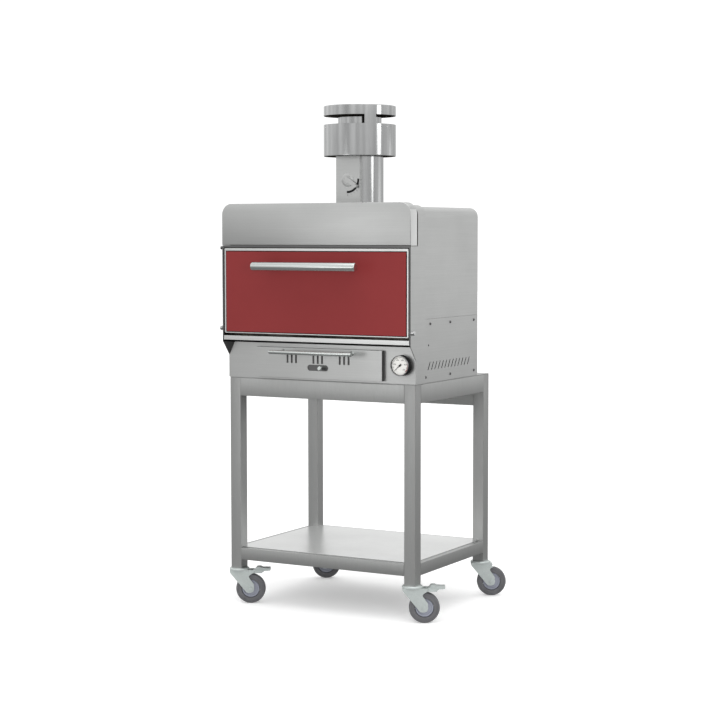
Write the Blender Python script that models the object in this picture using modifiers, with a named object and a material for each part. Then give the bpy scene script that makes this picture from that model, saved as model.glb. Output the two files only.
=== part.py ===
"""Charcoal and wood fired oven on a wheeled stand, with a drop-down door and an ash drawer.

Metres, +Z up, front facing -Y. Everything hangs under the empty "oven_origin". The stand is
laid out about its own centre line with z = 0 on the floor. The oven is laid out in the frame
of the empty "oven_base": x = 0 on the centre line, y = 0 on the stand's front face and z = 0
on the table top.
"""

from math import cos, pi, radians, sin

import bmesh
import bpy
from mathutils import Matrix, Vector

# ---- driving dimensions -------------------------------------------------------------------
GAP = 0.0003                 # clearance between pieces that touch
SHEET = 0.002                # stainless sheet

STAND_W = 0.700
STAND_D = 0.550
STAND_H = 0.770              # floor to table top
TUBE = 0.040                 # square tube of the legs
APRON_H = 0.060
REAR_APRON_H = 0.108
SHELF_TOP = 0.192            # floor to the top of the shelf rails
SHELF_RAIL_H = 0.040
SHELF_INSET = 0.020          # bare strip of rail around the shelf sheet

CASTER_H = 0.122             # floor to the leg's lower end
WHEEL_R = 0.050
WHEEL_HALF = 0.015
CASTER_TRAIL = 0.0385        # swivel axis to wheel axle
CASTER_TURN = radians(29.0)  # the four casters trail the same way
HEAD_R = 0.034
PEDAL_TIP = 0.105
PEDAL_HALF = 0.0165

OVEN_D = 0.457               # lower fascia to rear panel
FRAME_HALF = 0.3535          # outer half width of the front frame and the header
JACKET_HALF = 0.3505
SEAM_Y = 0.063               # seam between the front frame and the jacket
DOOR_Y = -0.0385             # front face of the door's steel shell
DOOR_HALF = 0.345
DOOR_LOW = 0.150
DOOR_HIGH = 0.4313
DOOR_DEPTH = 0.0295
HINGE_Y = -0.033
HINGE_Z = 0.1655
HEADER_LOW = 0.4417
HEADER_HIGH = 0.578
HEADER_R = 0.036
FRAME_HIGH = 0.570
JACKET_HIGH = 0.565
PANEL_HIGH = 0.205           # top seam of the side service panels
CAVITY_HALF = 0.300
CAVITY_LOW = 0.165
CAVITY_HIGH = 0.425
CAVITY_BACK = 0.422
FLANGE_Y = -0.0035           # front face of the firebox flange, behind the shut door
RACK_Z = 0.2818
DRAWER_HALF = 0.2375
DRAWER_LOW = 0.0076
DRAWER_HIGH = 0.1055
DRAWER_OUT = 0.0155
HANDLE_Y = -0.107
HANDLE_Z = 0.373
HANDLE_R = 0.014
HANDLE_HALF = 0.193
HANDLE_POST_X = 0.145
DIAL_X = 0.3043
DIAL_Z = 0.0605
DIAL_R = 0.033
FLUE_Y = 0.268
FLUE_R = 0.080
DAMPER_Z = 0.6575
DAMPER_REST = radians(-30.0)
LEVER_R = 0.040
CAP_R = 0.1215
CAP_LOW = 0.738
CAP_HIGH = 0.906
SPIGOT_R = 0.0735

LEG_X = (STAND_W - TUBE) / 2
LEG_Y = (STAND_D - TUBE) / 2
REACH_RIGHT = LEG_X + PEDAL_TIP * cos(CASTER_TURN) + PEDAL_HALF * sin(CASTER_TURN)
REACH_LEFT = LEG_X + HEAD_R
REACH_BACK = LEG_Y + (CASTER_TRAIL + WHEEL_R) * sin(CASTER_TURN) + WHEEL_HALF * cos(CASTER_TURN)
REACH_FRONT = STAND_D / 2 - HANDLE_Y + HANDLE_R

STEEL = ("brushed_steel", (0.60, 0.60, 0.60), 0.35, 1.0)
STAND_STEEL = ("stand_steel", (0.42, 0.42, 0.42), 0.42, 1.0)
SHELF_STEEL = ("shelf_steel", (0.72, 0.72, 0.72), 0.30, 1.0)
RED = ("red_enamel", (0.30, 0.045, 0.045), 0.45, 0.0)
IRON = ("cast_iron", (0.06, 0.06, 0.06), 0.75, 0.6)
ZINC = ("zinc_plate", (0.62, 0.66, 0.64), 0.35, 1.0)
RUBBER = ("grey_rubber", (0.19, 0.19, 0.20), 0.70, 0.0)
WOOL = ("mineral_wool", (0.66, 0.60, 0.42), 0.95, 0.0)
DIAL_WHITE = ("dial_white", (0.85, 0.85, 0.84), 0.50, 0.0)
BLACK = ("black_paint", (0.02, 0.02, 0.02), 0.50, 0.0)
GLASS = ("dial_glass", (0.90, 0.93, 0.93), 0.05, 0.0)


# ---- collections, materials and parenting -------------------------------------------------
def clear_scene():
    for obj in list(bpy.data.objects):
        bpy.data.objects.remove(obj, do_unlink=True)


def collection(name):
    found = bpy.data.collections.get(name) or bpy.data.collections.new(name)
    if name not in bpy.context.scene.collection.children:
        bpy.context.scene.collection.children.link(found)
    return found


def material(spec):
    name, colour, roughness, metallic = spec
    mat = bpy.data.materials.get(name)
    if mat is None:
        mat = bpy.data.materials.new(name)
        mat.use_nodes = True
        shader = mat.node_tree.nodes["Principled BSDF"]
        shader.inputs["Base Color"].default_value = (*colour, 1.0)
        shader.inputs["Roughness"].default_value = roughness
        shader.inputs["Metallic"].default_value = metallic
    return mat


def empty(name, location, parent=None, turn=0.0):
    obj = bpy.data.objects.new(name, None)
    obj.empty_display_size = 0.05
    obj.location = location
    obj.rotation_euler = (0.0, 0.0, turn)
    obj.parent = parent
    collection("charcoal_oven").objects.link(obj)
    return obj


def place(obj, parent, pivot=None):
    """Parent a piece laid out in the parent's frame; a pivot is an empty inside that frame."""
    obj.parent = pivot or parent
    if pivot is not None:
        obj.location = Vector(obj.location) - Vector(pivot.location)
    return obj


def finish(obj, spec, parent, pivot=None):
    """Make a shape a piece of the object, with its material and its place in the tree."""
    obj.data.materials.clear()
    obj.data.materials.append(material(spec))
    collection("charcoal_oven").objects.link(obj)
    place(obj, parent, pivot)
    for modifier in obj.modifiers:
        tool = modifier.object
        place(tool, parent, pivot)
        tool.hide_render = True
        tool.display_type = "WIRE"
        collection("cutters").objects.link(tool)
    return obj


# ---- shapes -------------------------------------------------------------------------------
def mesh_object(name, bm, location=(0.0, 0.0, 0.0)):
    """A closed mesh object with its faces pointing out and its round sides smooth."""
    bmesh.ops.recalc_face_normals(bm, faces=bm.faces)
    if bm.calc_volume(signed=True) < 0.0:
        bmesh.ops.reverse_faces(bm, faces=bm.faces)
    mesh = bpy.data.meshes.new(name)
    bm.to_mesh(mesh)
    bm.free()
    mesh.shade_smooth()
    mesh.set_sharp_from_angle(angle=radians(30.0))
    obj = bpy.data.objects.new(name, mesh)
    obj.location = location
    return obj


def box(name, low, high):
    low, high = Vector(low), Vector(high)
    bm = bmesh.new()
    bmesh.ops.create_cube(bm, size=1.0)
    bmesh.ops.scale(bm, vec=high - low, verts=bm.verts)
    return mesh_object(name, bm, (low + high) / 2)


AXES = {
    "X": Matrix(((0, 0, 1), (1, 0, 0), (0, 1, 0))).to_4x4(),
    "Y": Matrix(((1, 0, 0), (0, 0, -1), (0, 1, 0))).to_4x4(),
    "Z": Matrix.Identity(4),
}


def cylinder(name, centre, radius, length, axis="Z", segments=24):
    bm = bmesh.new()
    bmesh.ops.create_cone(bm, cap_ends=True, segments=segments, radius1=radius, radius2=radius,
                          depth=length, matrix=AXES[axis])
    return mesh_object(name, bm, centre)


def turned(name, profile, centre, axis="Z", steps=32):
    """Turn a closed profile of (radius, height) points about the axis with a Screw modifier."""
    bm = bmesh.new()
    verts = [bm.verts.new((radius, 0.0, height)) for radius, height in profile]
    for start, end in zip(verts, verts[1:]):
        bm.edges.new((start, end))
    if profile[0][0] > 0.0 or profile[-1][0] > 0.0:
        bm.edges.new((verts[-1], verts[0]))
    line = bpy.data.meshes.new(name + "_profile")
    bm.to_mesh(line)
    bm.free()
    guide = bpy.data.objects.new(name + "_profile", line)
    bpy.context.scene.collection.objects.link(guide)
    screw = guide.modifiers.new("turn", "SCREW")
    screw.steps = steps
    screw.render_steps = steps
    screw.use_merge_vertices = True
    screw.merge_threshold = 0.0001
    return solid_from(guide, name, AXES[axis], centre)


def flat(name, outlines, thickness, axis, centre):
    """Extrude flat outlines along an axis; the outlines after the first are holes.

    Outline points are (x, y) for axis Z, (x, z) for axis Y and (y, z) for axis X.
    """
    curve = bpy.data.curves.new(name + "_outline", "CURVE")
    curve.dimensions = "2D"
    curve.fill_mode = "BOTH"
    curve.extrude = thickness / 2
    for outline in outlines:
        spline = curve.splines.new("POLY")
        spline.points.add(len(outline) - 1)
        for point, (across, up) in zip(spline.points, outline):
            point.co = (across, up, 0.0, 1.0)
        spline.use_cyclic_u = True
    guide = bpy.data.objects.new(name + "_outline", curve)
    bpy.context.scene.collection.objects.link(guide)
    return solid_from(guide, name, AXES[axis], centre)


def rod(name, points, radius, resolution=3):
    """A round bar or tube along a list of points, as a bevelled curve with filled caps."""
    curve = bpy.data.curves.new(name + "_path", "CURVE")
    curve.dimensions = "3D"
    curve.bevel_depth = radius
    curve.bevel_resolution = resolution
    curve.use_fill_caps = True
    spline = curve.splines.new("POLY")
    spline.points.add(len(points) - 1)
    for point, place_at in zip(spline.points, points):
        point.co = (*place_at, 1.0)
    guide = bpy.data.objects.new(name + "_path", curve)
    bpy.context.scene.collection.objects.link(guide)
    return solid_from(guide, name, AXES["Z"], (0.0, 0.0, 0.0))


def solid_from(guide, name, turn, centre):
    """Turn a guide object into a welded mesh object and remove the guide."""
    bpy.context.view_layer.update()
    evaluated = guide.evaluated_get(bpy.context.evaluated_depsgraph_get())
    mesh = bpy.data.meshes.new_from_object(evaluated)
    bm = bmesh.new()
    bm.from_mesh(mesh)
    bmesh.ops.remove_doubles(bm, verts=bm.verts, dist=0.00001)
    bmesh.ops.transform(bm, matrix=turn, verts=bm.verts)
    bpy.data.meshes.remove(mesh)
    bpy.data.objects.remove(guide, do_unlink=True)
    return mesh_object(name, bm, centre)


def hull(name, corners):
    """The convex solid that spans a few corner points."""
    bm = bmesh.new()
    for corner in corners:
        bm.verts.new(corner)
    bmesh.ops.convex_hull(bm, input=bm.verts)
    return mesh_object(name, bm)


def boolean(target, tool, operation):
    modifier = target.modifiers.new(tool.name, "BOOLEAN")
    modifier.operation = operation
    modifier.object = tool
    modifier.solver = "EXACT"
    return target


def cut(target, *tools):
    for tool in tools:
        boolean(target, tool, "DIFFERENCE")
    return target


def weld(target, *tools):
    for tool in tools:
        boolean(target, tool, "UNION")
    return target


def merged(target, name):
    """Bake a shape's Booleans into one plain mesh, so that it can serve as a cutter."""
    used = [modifier.object for modifier in target.modifiers]
    for obj in (target, *used):
        bpy.context.scene.collection.objects.link(obj)
    baked = solid_from(target, name, target.matrix_basis.copy(), (0.0, 0.0, 0.0))
    for obj in used:
        bpy.data.objects.remove(obj, do_unlink=True)
    return baked


# ---- outlines -----------------------------------------------------------------------------
def rounded(corners, segments=5):
    """Outline through corners given as (across, up, radius), each rounded by an arc."""
    points = []
    count = len(corners)
    for index, (across, up, radius) in enumerate(corners):
        here = Vector((across, up))
        before = Vector(corners[index - 1][:2])
        after = Vector(corners[(index + 1) % count][:2])
        if radius == 0.0:
            points.append(tuple(here))
            continue
        to_before = (before - here).normalized()
        to_after = (after - here).normalized()
        half = to_before.angle(to_after) / 2
        middle = here + (to_before + to_after).normalized() * (radius / sin(half))
        start = here + to_before * (radius / (sin(half) / cos(half))) - middle
        sweep = pi - 2 * half
        if to_before.cross(to_after) > 0.0:
            sweep = -sweep
        for step in range(segments + 1):
            angle = sweep * step / segments
            points.append((middle.x + start.x * cos(angle) - start.y * sin(angle),
                           middle.y + start.x * sin(angle) + start.y * cos(angle)))
    return points


def rectangle(low_a, high_a, low_b, high_b, radius=0.0):
    return rounded([(low_a, low_b, radius), (high_a, low_b, radius),
                    (high_a, high_b, radius), (low_a, high_b, radius)])


def arch(half, low, high, radius):
    """Rectangle about the centre line with its two upper corners rounded."""
    return rounded([(-half, low, 0.0), (half, low, 0.0), (half, high, radius), (-half, high, radius)], 6)


def arch_band(half, low, high, radius, thickness):
    """An inverted U of sheet: up one side, over the top and down the other side."""
    outer = arch(half, low, high, radius)
    inner = arch(half - thickness, low, high - thickness, radius - thickness)
    return [outer[0]] + [inner[0]] + inner[:1:-1] + [inner[1]] + outer[1:]


def circle(across, up, radius, count=24, offset=0.0):
    return [(across + radius * cos(offset + 2 * pi * step / count),
             up + radius * sin(offset + 2 * pi * step / count)) for step in range(count)]


def arc_slot(across, up, radius, width, start, end, steps=8):
    """A slot of constant width that follows an arc."""
    outer, inner = [], []
    for step in range(steps + 1):
        angle = start + (end - start) * step / steps
        outer.append((across + (radius + width / 2) * cos(angle), up + (radius + width / 2) * sin(angle)))
        inner.append((across + (radius - width / 2) * cos(angle), up + (radius - width / 2) * sin(angle)))
    return outer + inner[::-1]


def vent_slots(x_shift=0.0, low=0.0555, high=0.0840):
    """Three groups of three upright air slots, shared by the drawer front and the slide."""
    group_pitch, slot_pitch, half = 0.0989, 0.0163, 0.0033
    slots = []
    for group in (-1, 0, 1):
        for slot in (-1, 0, 1):
            middle = x_shift + group * group_pitch + slot * slot_pitch
            slots.append(rectangle(middle - half, middle + half, low, high))
    return slots


# ---- stand --------------------------------------------------------------------------------
def tube_rail(name, half_length, side, middle, height, top, parent):
    """A rectangular tube rail along X or Y, its outer side flush with the legs."""
    low = top - height
    wall = SHEET
    inner_edge, outer_edge = middle - TUBE / 2, middle + TUBE / 2
    rings = [rectangle(inner_edge, outer_edge, low, top),
             rectangle(inner_edge + wall, outer_edge - wall, low + wall, top - wall)]
    obj = flat(name, rings, 2 * half_length, side, (0.0, 0.0, 0.0))
    finish(obj, STAND_STEEL, parent)


def build_stand(root):
    top = STAND_H - SHEET
    names = {(-1, -1): "front_left", (1, -1): "front_right", (-1, 1): "rear_left", (1, 1): "rear_right"}
    inner = TUBE / 2 - SHEET
    for (side_x, side_y), place_name in names.items():
        rings = [rectangle(-TUBE / 2, TUBE / 2, -TUBE / 2, TUBE / 2), rectangle(-inner, inner, -inner, inner)]
        length = top - GAP - CASTER_H
        centre = (side_x * LEG_X, side_y * LEG_Y, CASTER_H + length / 2)
        finish(flat("leg_" + place_name, rings, length, "Z", centre), STAND_STEEL, root)
    along_x = STAND_W / 2 - TUBE - GAP
    along_y = STAND_D / 2 - TUBE - GAP
    tube_rail("apron_front", along_x, "X", -LEG_Y, APRON_H, top - GAP, root)
    tube_rail("apron_rear", along_x, "X", LEG_Y, REAR_APRON_H, top - GAP, root)
    tube_rail("apron_left", along_y, "Y", -LEG_X, APRON_H, top - GAP, root)
    tube_rail("apron_right", along_y, "Y", LEG_X, APRON_H, top - GAP, root)
    tube_rail("shelf_rail_front", along_x, "X", -LEG_Y, SHELF_RAIL_H, SHELF_TOP, root)
    tube_rail("shelf_rail_rear", along_x, "X", LEG_Y, SHELF_RAIL_H, SHELF_TOP, root)
    tube_rail("shelf_rail_left", along_y, "Y", -LEG_X, SHELF_RAIL_H, SHELF_TOP, root)
    tube_rail("shelf_rail_right", along_y, "Y", LEG_X, SHELF_RAIL_H, SHELF_TOP, root)
    plate = box("table_top", (-STAND_W / 2, -STAND_D / 2, top), (STAND_W / 2, STAND_D / 2, STAND_H))
    finish(plate, STAND_STEEL, root)
    half_x, half_y = STAND_W / 2 - SHELF_INSET, STAND_D / 2 - SHELF_INSET
    sheet = [(-along_x, -half_y), (along_x, -half_y), (along_x, -along_y), (half_x, -along_y),
             (half_x, along_y), (along_x, along_y), (along_x, half_y), (-along_x, half_y),
             (-along_x, along_y), (-half_x, along_y), (-half_x, -along_y), (-along_x, -along_y)]
    finish(flat("shelf_sheet", [sheet], SHEET, "Z", (0.0, 0.0, SHELF_TOP + GAP + SHEET / 2)),
           SHELF_STEEL, root)


# ---- casters ------------------------------------------------------------------------------
def caster_head():
    """Swivel head: a plug in the leg, a round race and the kingpin with its rivet head."""
    top = CASTER_H - GAP
    profile = [(0.0, top), (0.0315, top), (HEAD_R, top - 0.0025), (HEAD_R, top - 0.0072),
               (0.006, top - 0.0072), (0.006, 0.1082), (0.009, 0.1082), (0.009, 0.1042), (0.0, 0.1042)]
    head = turned("caster_head", profile, (0.0, 0.0, 0.0), "Z", 20)
    half = TUBE / 2 - SHEET - GAP
    plug = box("plug", (-half, -half, top - 0.002), (half, half, top + 0.030))
    plug.rotation_euler = (0.0, 0.0, -CASTER_TURN)
    return weld(head, plug)


def caster_fork(braked):
    """Pressed fork: two cheeks under a top plate, closed in front of the wheel, with the axle."""
    top = 0.1142
    tail = (0.078, 0.1035) if braked else (0.040, 0.1035)
    cheek = rounded([(-0.032, top, 0.0), (-0.032, 0.106, 0.0), (0.0255, 0.0365, 0.012),
                     (0.0515, 0.0365, 0.012), (0.0490, 0.066, 0.010), (0.0300, 0.093, 0.006),
                     (0.046, 0.1035, 0.0), (tail[0], tail[1], 0.0), (tail[0], top, 0.0)], 2)
    fork = flat("caster_fork", [cheek], 0.041, "Y", (0.0, 0.0, 0.0))
    room = rounded([(-0.0265, 0.1108, 0.0), (-0.0265, 0.1052, 0.0), (0.0268, 0.0405, 0.0),
                    (0.0268, 0.010, 0.0), (0.120, 0.010, 0.0), (0.120, 0.120 if braked else 0.1108, 0.0),
                    (0.036, 0.120 if braked else 0.1108, 0.0), (0.036, 0.1108, 0.0)], 1)
    inside = flat("wheel_room", [room], 0.035, "Y", (0.0, 0.0, 0.0))
    tyre_room = cylinder("tyre_room", (CASTER_TRAIL, 0.0, WHEEL_R), WHEEL_R + 0.003, 0.035, "Y", 32)
    hole = cylinder("kingpin_hole", (0.0, 0.0, 0.112), 0.0068, 0.010, "Z", 16)
    cut(fork, inside, tyre_room, hole)
    if braked:
        cut(fork, cylinder("pedal_hole", (0.0505, 0.0, 0.1085), 0.0029, 0.060, "Y", 12))
    axle_profile = [(0.0, 0.0245), (0.007, 0.0240), (0.007, 0.0200), (0.004, 0.0200),
                    (0.004, -0.0200), (0.007, -0.0200), (0.007, -0.0240), (0.0, -0.0245)]
    axle = turned("axle", axle_profile, (CASTER_TRAIL, 0.0, WHEEL_R), "Y", 12)
    return weld(fork, axle)


def caster_wheel():
    """Grey tread on a dished hub, turned about its axle."""
    half = WHEEL_HALF
    profile = [(0.0046, 0.0163), (0.011, 0.0163), (0.014, 0.011), (0.0290, 0.011), (0.0305, half),
               (0.046, half), (WHEEL_R, 0.008), (WHEEL_R, -0.008), (0.046, -half), (0.0305, -half),
               (0.0290, -0.011), (0.014, -0.011), (0.011, -0.0163), (0.0046, -0.0163)]
    return turned("caster_wheel", profile, (0.0, 0.0, 0.0), "Y", 24)


def brake_pedal():
    outline = [(0.0445, 0.1062), (0.0505, 0.1043), (0.064, 0.1058), (0.072, 0.1030), (0.080, 0.1066),
               (0.086, 0.1105), (PEDAL_TIP, 0.1115), (PEDAL_TIP, 0.1205), (0.079, 0.1208),
               (0.0715, 0.1245), (0.060, 0.1241), (0.053, 0.1160), (0.0445, 0.1113)]
    pedal = flat("brake_pedal", [outline], 2 * PEDAL_HALF, "Y", (0.0, 0.0, 0.0))
    return weld(pedal, cylinder("pedal_pin", (0.0505, 0.0, 0.1085), 0.0025, 0.044, "Y", 10))


def build_casters(root):
    corners = {"front_left": (-1, -1), "front_right": (1, -1), "rear_left": (-1, 1), "rear_right": (1, 1)}
    for name, (side_x, side_y) in corners.items():
        foot = empty("swivel_" + name, (side_x * LEG_X, side_y * LEG_Y, 0.0), root, CASTER_TURN)
        axle = empty("axle_" + name, (CASTER_TRAIL, 0.0, WHEEL_R), foot)
        braked = side_y < 0
        pieces = [("caster_head_", caster_head(), ZINC), ("caster_fork_", caster_fork(braked), ZINC)]
        if braked:
            pieces.append(("brake_pedal_", brake_pedal(), ZINC))
        for prefix, piece, spec in pieces:
            piece.name = prefix + name
            finish(piece, spec, foot)
        wheel = caster_wheel()
        wheel.name = "caster_wheel_" + name
        finish(wheel, RUBBER, axle)


# ---- oven casing --------------------------------------------------------------------------
def build_casing(base):
    tray = box("base_tray", (-0.348, 0.0025, GAP), (0.348, OVEN_D - 0.0025, 0.010))
    cut(tray, box("tray_room", (-0.346, 0.0045, SHEET), (0.346, OVEN_D - 0.0045, 0.020)))
    finish(tray, STEEL, base)

    corner_x, corner_low, corner_high = 0.0197, 0.075, 0.1185
    half = FRAME_HALF - SHEET - GAP
    face = [(-half, GAP), (half, GAP), (half, corner_low), (half - corner_x, corner_high),
            (-half + corner_x, corner_high), (-half, corner_low)]
    drawer_hole = rectangle(-0.232, 0.232, 0.011, 0.1015)
    fascia = flat("lower_fascia", [face, drawer_hole, circle(DIAL_X, DIAL_Z, 0.0062)], SHEET, "Y",
                  (0.0, SHEET / 2, 0.0))
    for side in (-1, 1):
        gusset = hull("gusset", [(side * half, 0.001, corner_low - 0.001),
                                 (side * half, 0.001, corner_high - 0.0007),
                                 (side * (half - corner_x - 0.0008), 0.001, corner_high - 0.0007),
                                 (side * half, -0.037, 0.1210)])
        weld(fascia, gusset)
    finish(fascia, STEEL, base)

    band = flat("front_frame", [arch_band(FRAME_HALF, GAP, FRAME_HIGH, 0.033, SHEET)],
                SEAM_Y - GAP - (DOOR_Y - 0.0005), "Y", (0.0, (SEAM_Y - GAP + DOOR_Y - 0.0005) / 2, 0.0))
    header_room = box("header_room", (-0.4, -0.10, HEADER_LOW - 0.0032), (0.4, 0.010, 0.70))
    foot_room = flat("foot_room", [[(-0.10, -0.05), (0.0, -0.05), (0.0, 0.075), (-0.040, 0.123), (-0.10, 0.123)]],
                     0.80, "X", (0.0, 0.0, 0.0))
    rim_outer = arch(FRAME_HALF, 0.126, HEADER_LOW - 0.0005, 0.012)
    rim_inner = arch(DOOR_HALF + 0.0035, 0.10, DOOR_HIGH + 0.0025, 0.006)
    rim = flat("door_rim", [rim_outer], 0.0025, "Y", (0.0, DOOR_Y + 0.00075, 0.0))
    rim_hole = flat("rim_hole", [rim_inner], 0.02, "Y", (0.0, DOOR_Y, 0.0))
    soffit = box("soffit", (-FRAME_HALF + 0.001, DOOR_Y, HEADER_LOW - 0.0025),
                 (FRAME_HALF - 0.001, 0.012, HEADER_LOW - 0.0006))
    cut(band, header_room, foot_room)
    weld(band, rim)
    cut(band, rim_hole)
    weld(band, soffit)
    for side in (-1, 1):
        cut(band, cylinder("pin_hole", (side * FRAME_HALF, HINGE_Y, HINGE_Z), 0.0034, 0.020, "X", 12))
    stud = cylinder("catch_stud", (-FRAME_HALF - 0.0045, -0.030, 0.4325), 0.0055, 0.011, "X", 12)
    weld(band, stud)
    finish(band, STEEL, base)

    lip = [(-0.040, 0.127), (-0.040, 0.1415), (FLANGE_Y - GAP, 0.1415), (FLANGE_Y - GAP, 0.1395),
           (-0.038, 0.1395), (-0.038, 0.129), (-0.004, 0.129), (-0.004, 0.127)]
    finish(flat("sill", [lip], 2 * 0.348, "X", (0.0, 0.0, 0.0)), STEEL, base)

    header = flat("header_cap", [arch(FRAME_HALF, HEADER_LOW, HEADER_HIGH, HEADER_R)], 0.0435, "Y",
                  (0.0, -0.040 + 0.0435 / 2, 0.0))
    inside = arch(FRAME_HALF - SHEET, HEADER_LOW + SHEET, HEADER_HIGH - SHEET, HEADER_R - SHEET)
    cut(header, flat("header_inside", [inside], 0.0435, "Y", (0.0, -0.038 + 0.0435 / 2, 0.0)))
    finish(header, STEEL, base)

    jacket = flat("jacket", [arch_band(JACKET_HALF, PANEL_HIGH + GAP, JACKET_HIGH, 0.031, SHEET)],
                  OVEN_D - SEAM_Y, "Y", (0.0, (OVEN_D + SEAM_Y) / 2, 0.0))
    cut(jacket, cylinder("flue_hole", (0.0, FLUE_Y, JACKET_HIGH), FLUE_R + 0.001, 0.05, "Z", 32))
    finish(jacket, STEEL, base)

    rear = arch(JACKET_HALF - SHEET - GAP, GAP, JACKET_HIGH - SHEET - GAP, 0.0287)
    finish(flat("rear_panel", [rear], SHEET, "Y", (0.0, OVEN_D - SHEET / 2, 0.0)), STEEL, base)
    for side, name in ((-1, "left"), (1, "right")):
        build_service_panel(base, side, name)


def build_service_panel(base, side, name):
    """Lower side panel, closed by screws, with a row of leaning cooling slots."""
    low, high, lean, half, count = 0.041, 0.066, 0.015, 0.0030, 13
    first, last = 0.0960, 0.3869
    outlines = [rectangle(SEAM_Y, OVEN_D, GAP, PANEL_HIGH)]
    for index in range(count):
        foot = first - lean / 2 + (last - first) * index / (count - 1)
        outlines.append([(foot - half, low), (foot + half, low), (foot + lean + half, high),
                         (foot + lean - half, high)])
    middle = side * (JACKET_HALF - SHEET / 2)
    finish(flat("service_panel_" + name, outlines, SHEET, "X", (middle, 0.0, 0.0)), STEEL, base)


def build_firebox(base):
    low, high = CAVITY_LOW - 0.003, CAVITY_HIGH + 0.003
    half, back = CAVITY_HALF + 0.003, CAVITY_BACK + 0.003
    liner = box("firebox_liner", (-half, FLANGE_Y, low), (half, back, high))
    flange = box("flange", (-0.348, FLANGE_Y, 0.1422), (0.348, FLANGE_Y + SHEET, 0.4382))
    cavity = box("cavity", (-CAVITY_HALF, -0.05, CAVITY_LOW), (CAVITY_HALF, CAVITY_BACK, CAVITY_HIGH))
    chute = box("chute", (-0.215, 0.040, low - 0.02), (0.215, 0.370, CAVITY_LOW + 0.01))
    outlet = cylinder("outlet", (0.0, FLUE_Y, high), FLUE_R - 0.0015, 0.04, "Z", 32)
    weld(liner, flange)
    cut(liner, cavity, chute, outlet)
    for side in (-1, 1):
        inner, outer = side * (CAVITY_HALF - 0.012), side * (CAVITY_HALF + 0.001)
        weld(liner, box("rack_ledge", (min(inner, outer), 0.010, RACK_Z - GAP - 0.003),
                        (max(inner, outer), 0.410, RACK_Z - GAP)))
    finish(liner, STEEL, base)

    outer = arch(JACKET_HALF - SHEET - 0.001, low - 0.030, JACKET_HIGH - SHEET - 0.001, 0.028)
    wool = flat("insulation", [outer], OVEN_D - SEAM_Y - 0.006, "Y", (0.0, (OVEN_D + SEAM_Y) / 2, 0.0))
    room = box("liner_room", (-half - 0.001, 0.0, 0.0), (half + 0.001, back + 0.001, high + 0.001))
    pipe_room = cylinder("pipe_room", (0.0, FLUE_Y, JACKET_HIGH), FLUE_R + 0.001, 0.30, "Z", 32)
    cut(wool, room, pipe_room)
    finish(wool, WOOL, base)

    slots = [rectangle(-0.235, 0.235, 0.025, 0.385)]
    for index in range(12):
        middle = -0.198 + 0.036 * index
        for start, end in ((0.045, 0.195), (0.215, 0.365)):
            slots.append(rectangle(middle - 0.009, middle + 0.009, start, end))
    finish(flat("charcoal_grate", slots, 0.012, "Z", (0.0, 0.0, CAVITY_LOW + GAP + 0.006)), IRON, base)

    bars = [rectangle(-0.297, 0.297, 0.030, 0.400)]
    for index in range(17):
        middle = -0.272 + 0.034 * index
        bars.append(rectangle(middle - 0.0140, middle + 0.0140, 0.038, 0.392))
    finish(flat("cooking_rack", bars, 0.006, "Z", (0.0, 0.0, RACK_Z + 0.003)), STEEL, base)


# ---- ash drawer ---------------------------------------------------------------------------
def build_drawer(base):
    runner = empty("ash_drawer_slide", (0.0, 0.0, DRAWER_LOW), base)
    tray = box("ash_drawer", (-0.228, 0.0005, 0.014), (0.228, 0.400, 0.098))
    room = box("ash_room", (-0.2265, 0.002, 0.0155), (0.2265, 0.3985, 0.12))
    air_way = box("air_way", (-0.2265, -0.02, 0.040), (0.2265, 0.02, 0.12))
    finish(cut(tray, room, air_way), STEEL, base, runner)

    back = -GAP
    front = box("drawer_front", (-DRAWER_HALF, -DRAWER_OUT, DRAWER_LOW), (DRAWER_HALF, back, DRAWER_HIGH))
    pocket = box("front_pocket", (-DRAWER_HALF + SHEET, -DRAWER_OUT + SHEET, DRAWER_LOW + SHEET),
                 (DRAWER_HALF - SHEET, 0.02, DRAWER_HIGH - SHEET))
    cut(front, pocket)
    for index, outline in enumerate(vent_slots()):
        cut(front, flat("vent_%d" % index, [outline], 0.02, "Y", (0.0, -DRAWER_OUT, 0.0)))
    slot = rectangle(-0.039, 0.039, 0.0323, 0.0519, 0.0097)
    cut(front, flat("slide_slot", [slot], 0.02, "Y", (0.0, -DRAWER_OUT, 0.0)))
    bar_y, bar_z = -0.067, 0.093
    for side in (-1, 1):
        weld(front, rod("drawer_post", [(side * 0.128, -DRAWER_OUT + 0.001, bar_z),
                                        (side * 0.128, bar_y, bar_z)], 0.0045))
    weld(front, rod("drawer_bar", [(-0.1545, bar_y, bar_z), (0.1545, bar_y, bar_z)], 0.0065))
    finish(front, STEEL, base, runner)

    knob_x, knob_z = 0.017, 0.0421
    slide = empty("air_slide_way", (knob_x, -DRAWER_OUT, knob_z), base)
    slide.parent = runner
    slide.location = Vector(slide.location) - Vector(runner.location)
    plate_y = -DRAWER_OUT + SHEET + 0.0005
    plate = box("air_slide", (-0.165, plate_y, 0.026), (0.165, plate_y + 0.0015, 0.096))
    for index, outline in enumerate(vent_slots(0.004)):
        cut(plate, flat("slide_vent_%d" % index, [outline], 0.02, "Y", (0.0, plate_y, 0.0)))
    knob_profile = [(0.0, 0.0250), (0.0055, 0.0250), (0.0075, 0.0230), (0.0075, 0.0150), (0.0055, 0.0130),
                    (0.0040, 0.0130), (0.0040, -0.0010), (0.0, -0.0010)]
    knob = turned("air_knob", knob_profile, (knob_x, plate_y, knob_z), "Y", 14)
    weld(plate, knob)
    finish(plate, STEEL, base)
    tools = [modifier.object for modifier in plate.modifiers]
    for obj in (plate, *tools):
        obj.parent = slide
        obj.location = Vector(obj.location) - Vector((knob_x, -DRAWER_OUT, knob_z))


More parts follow.
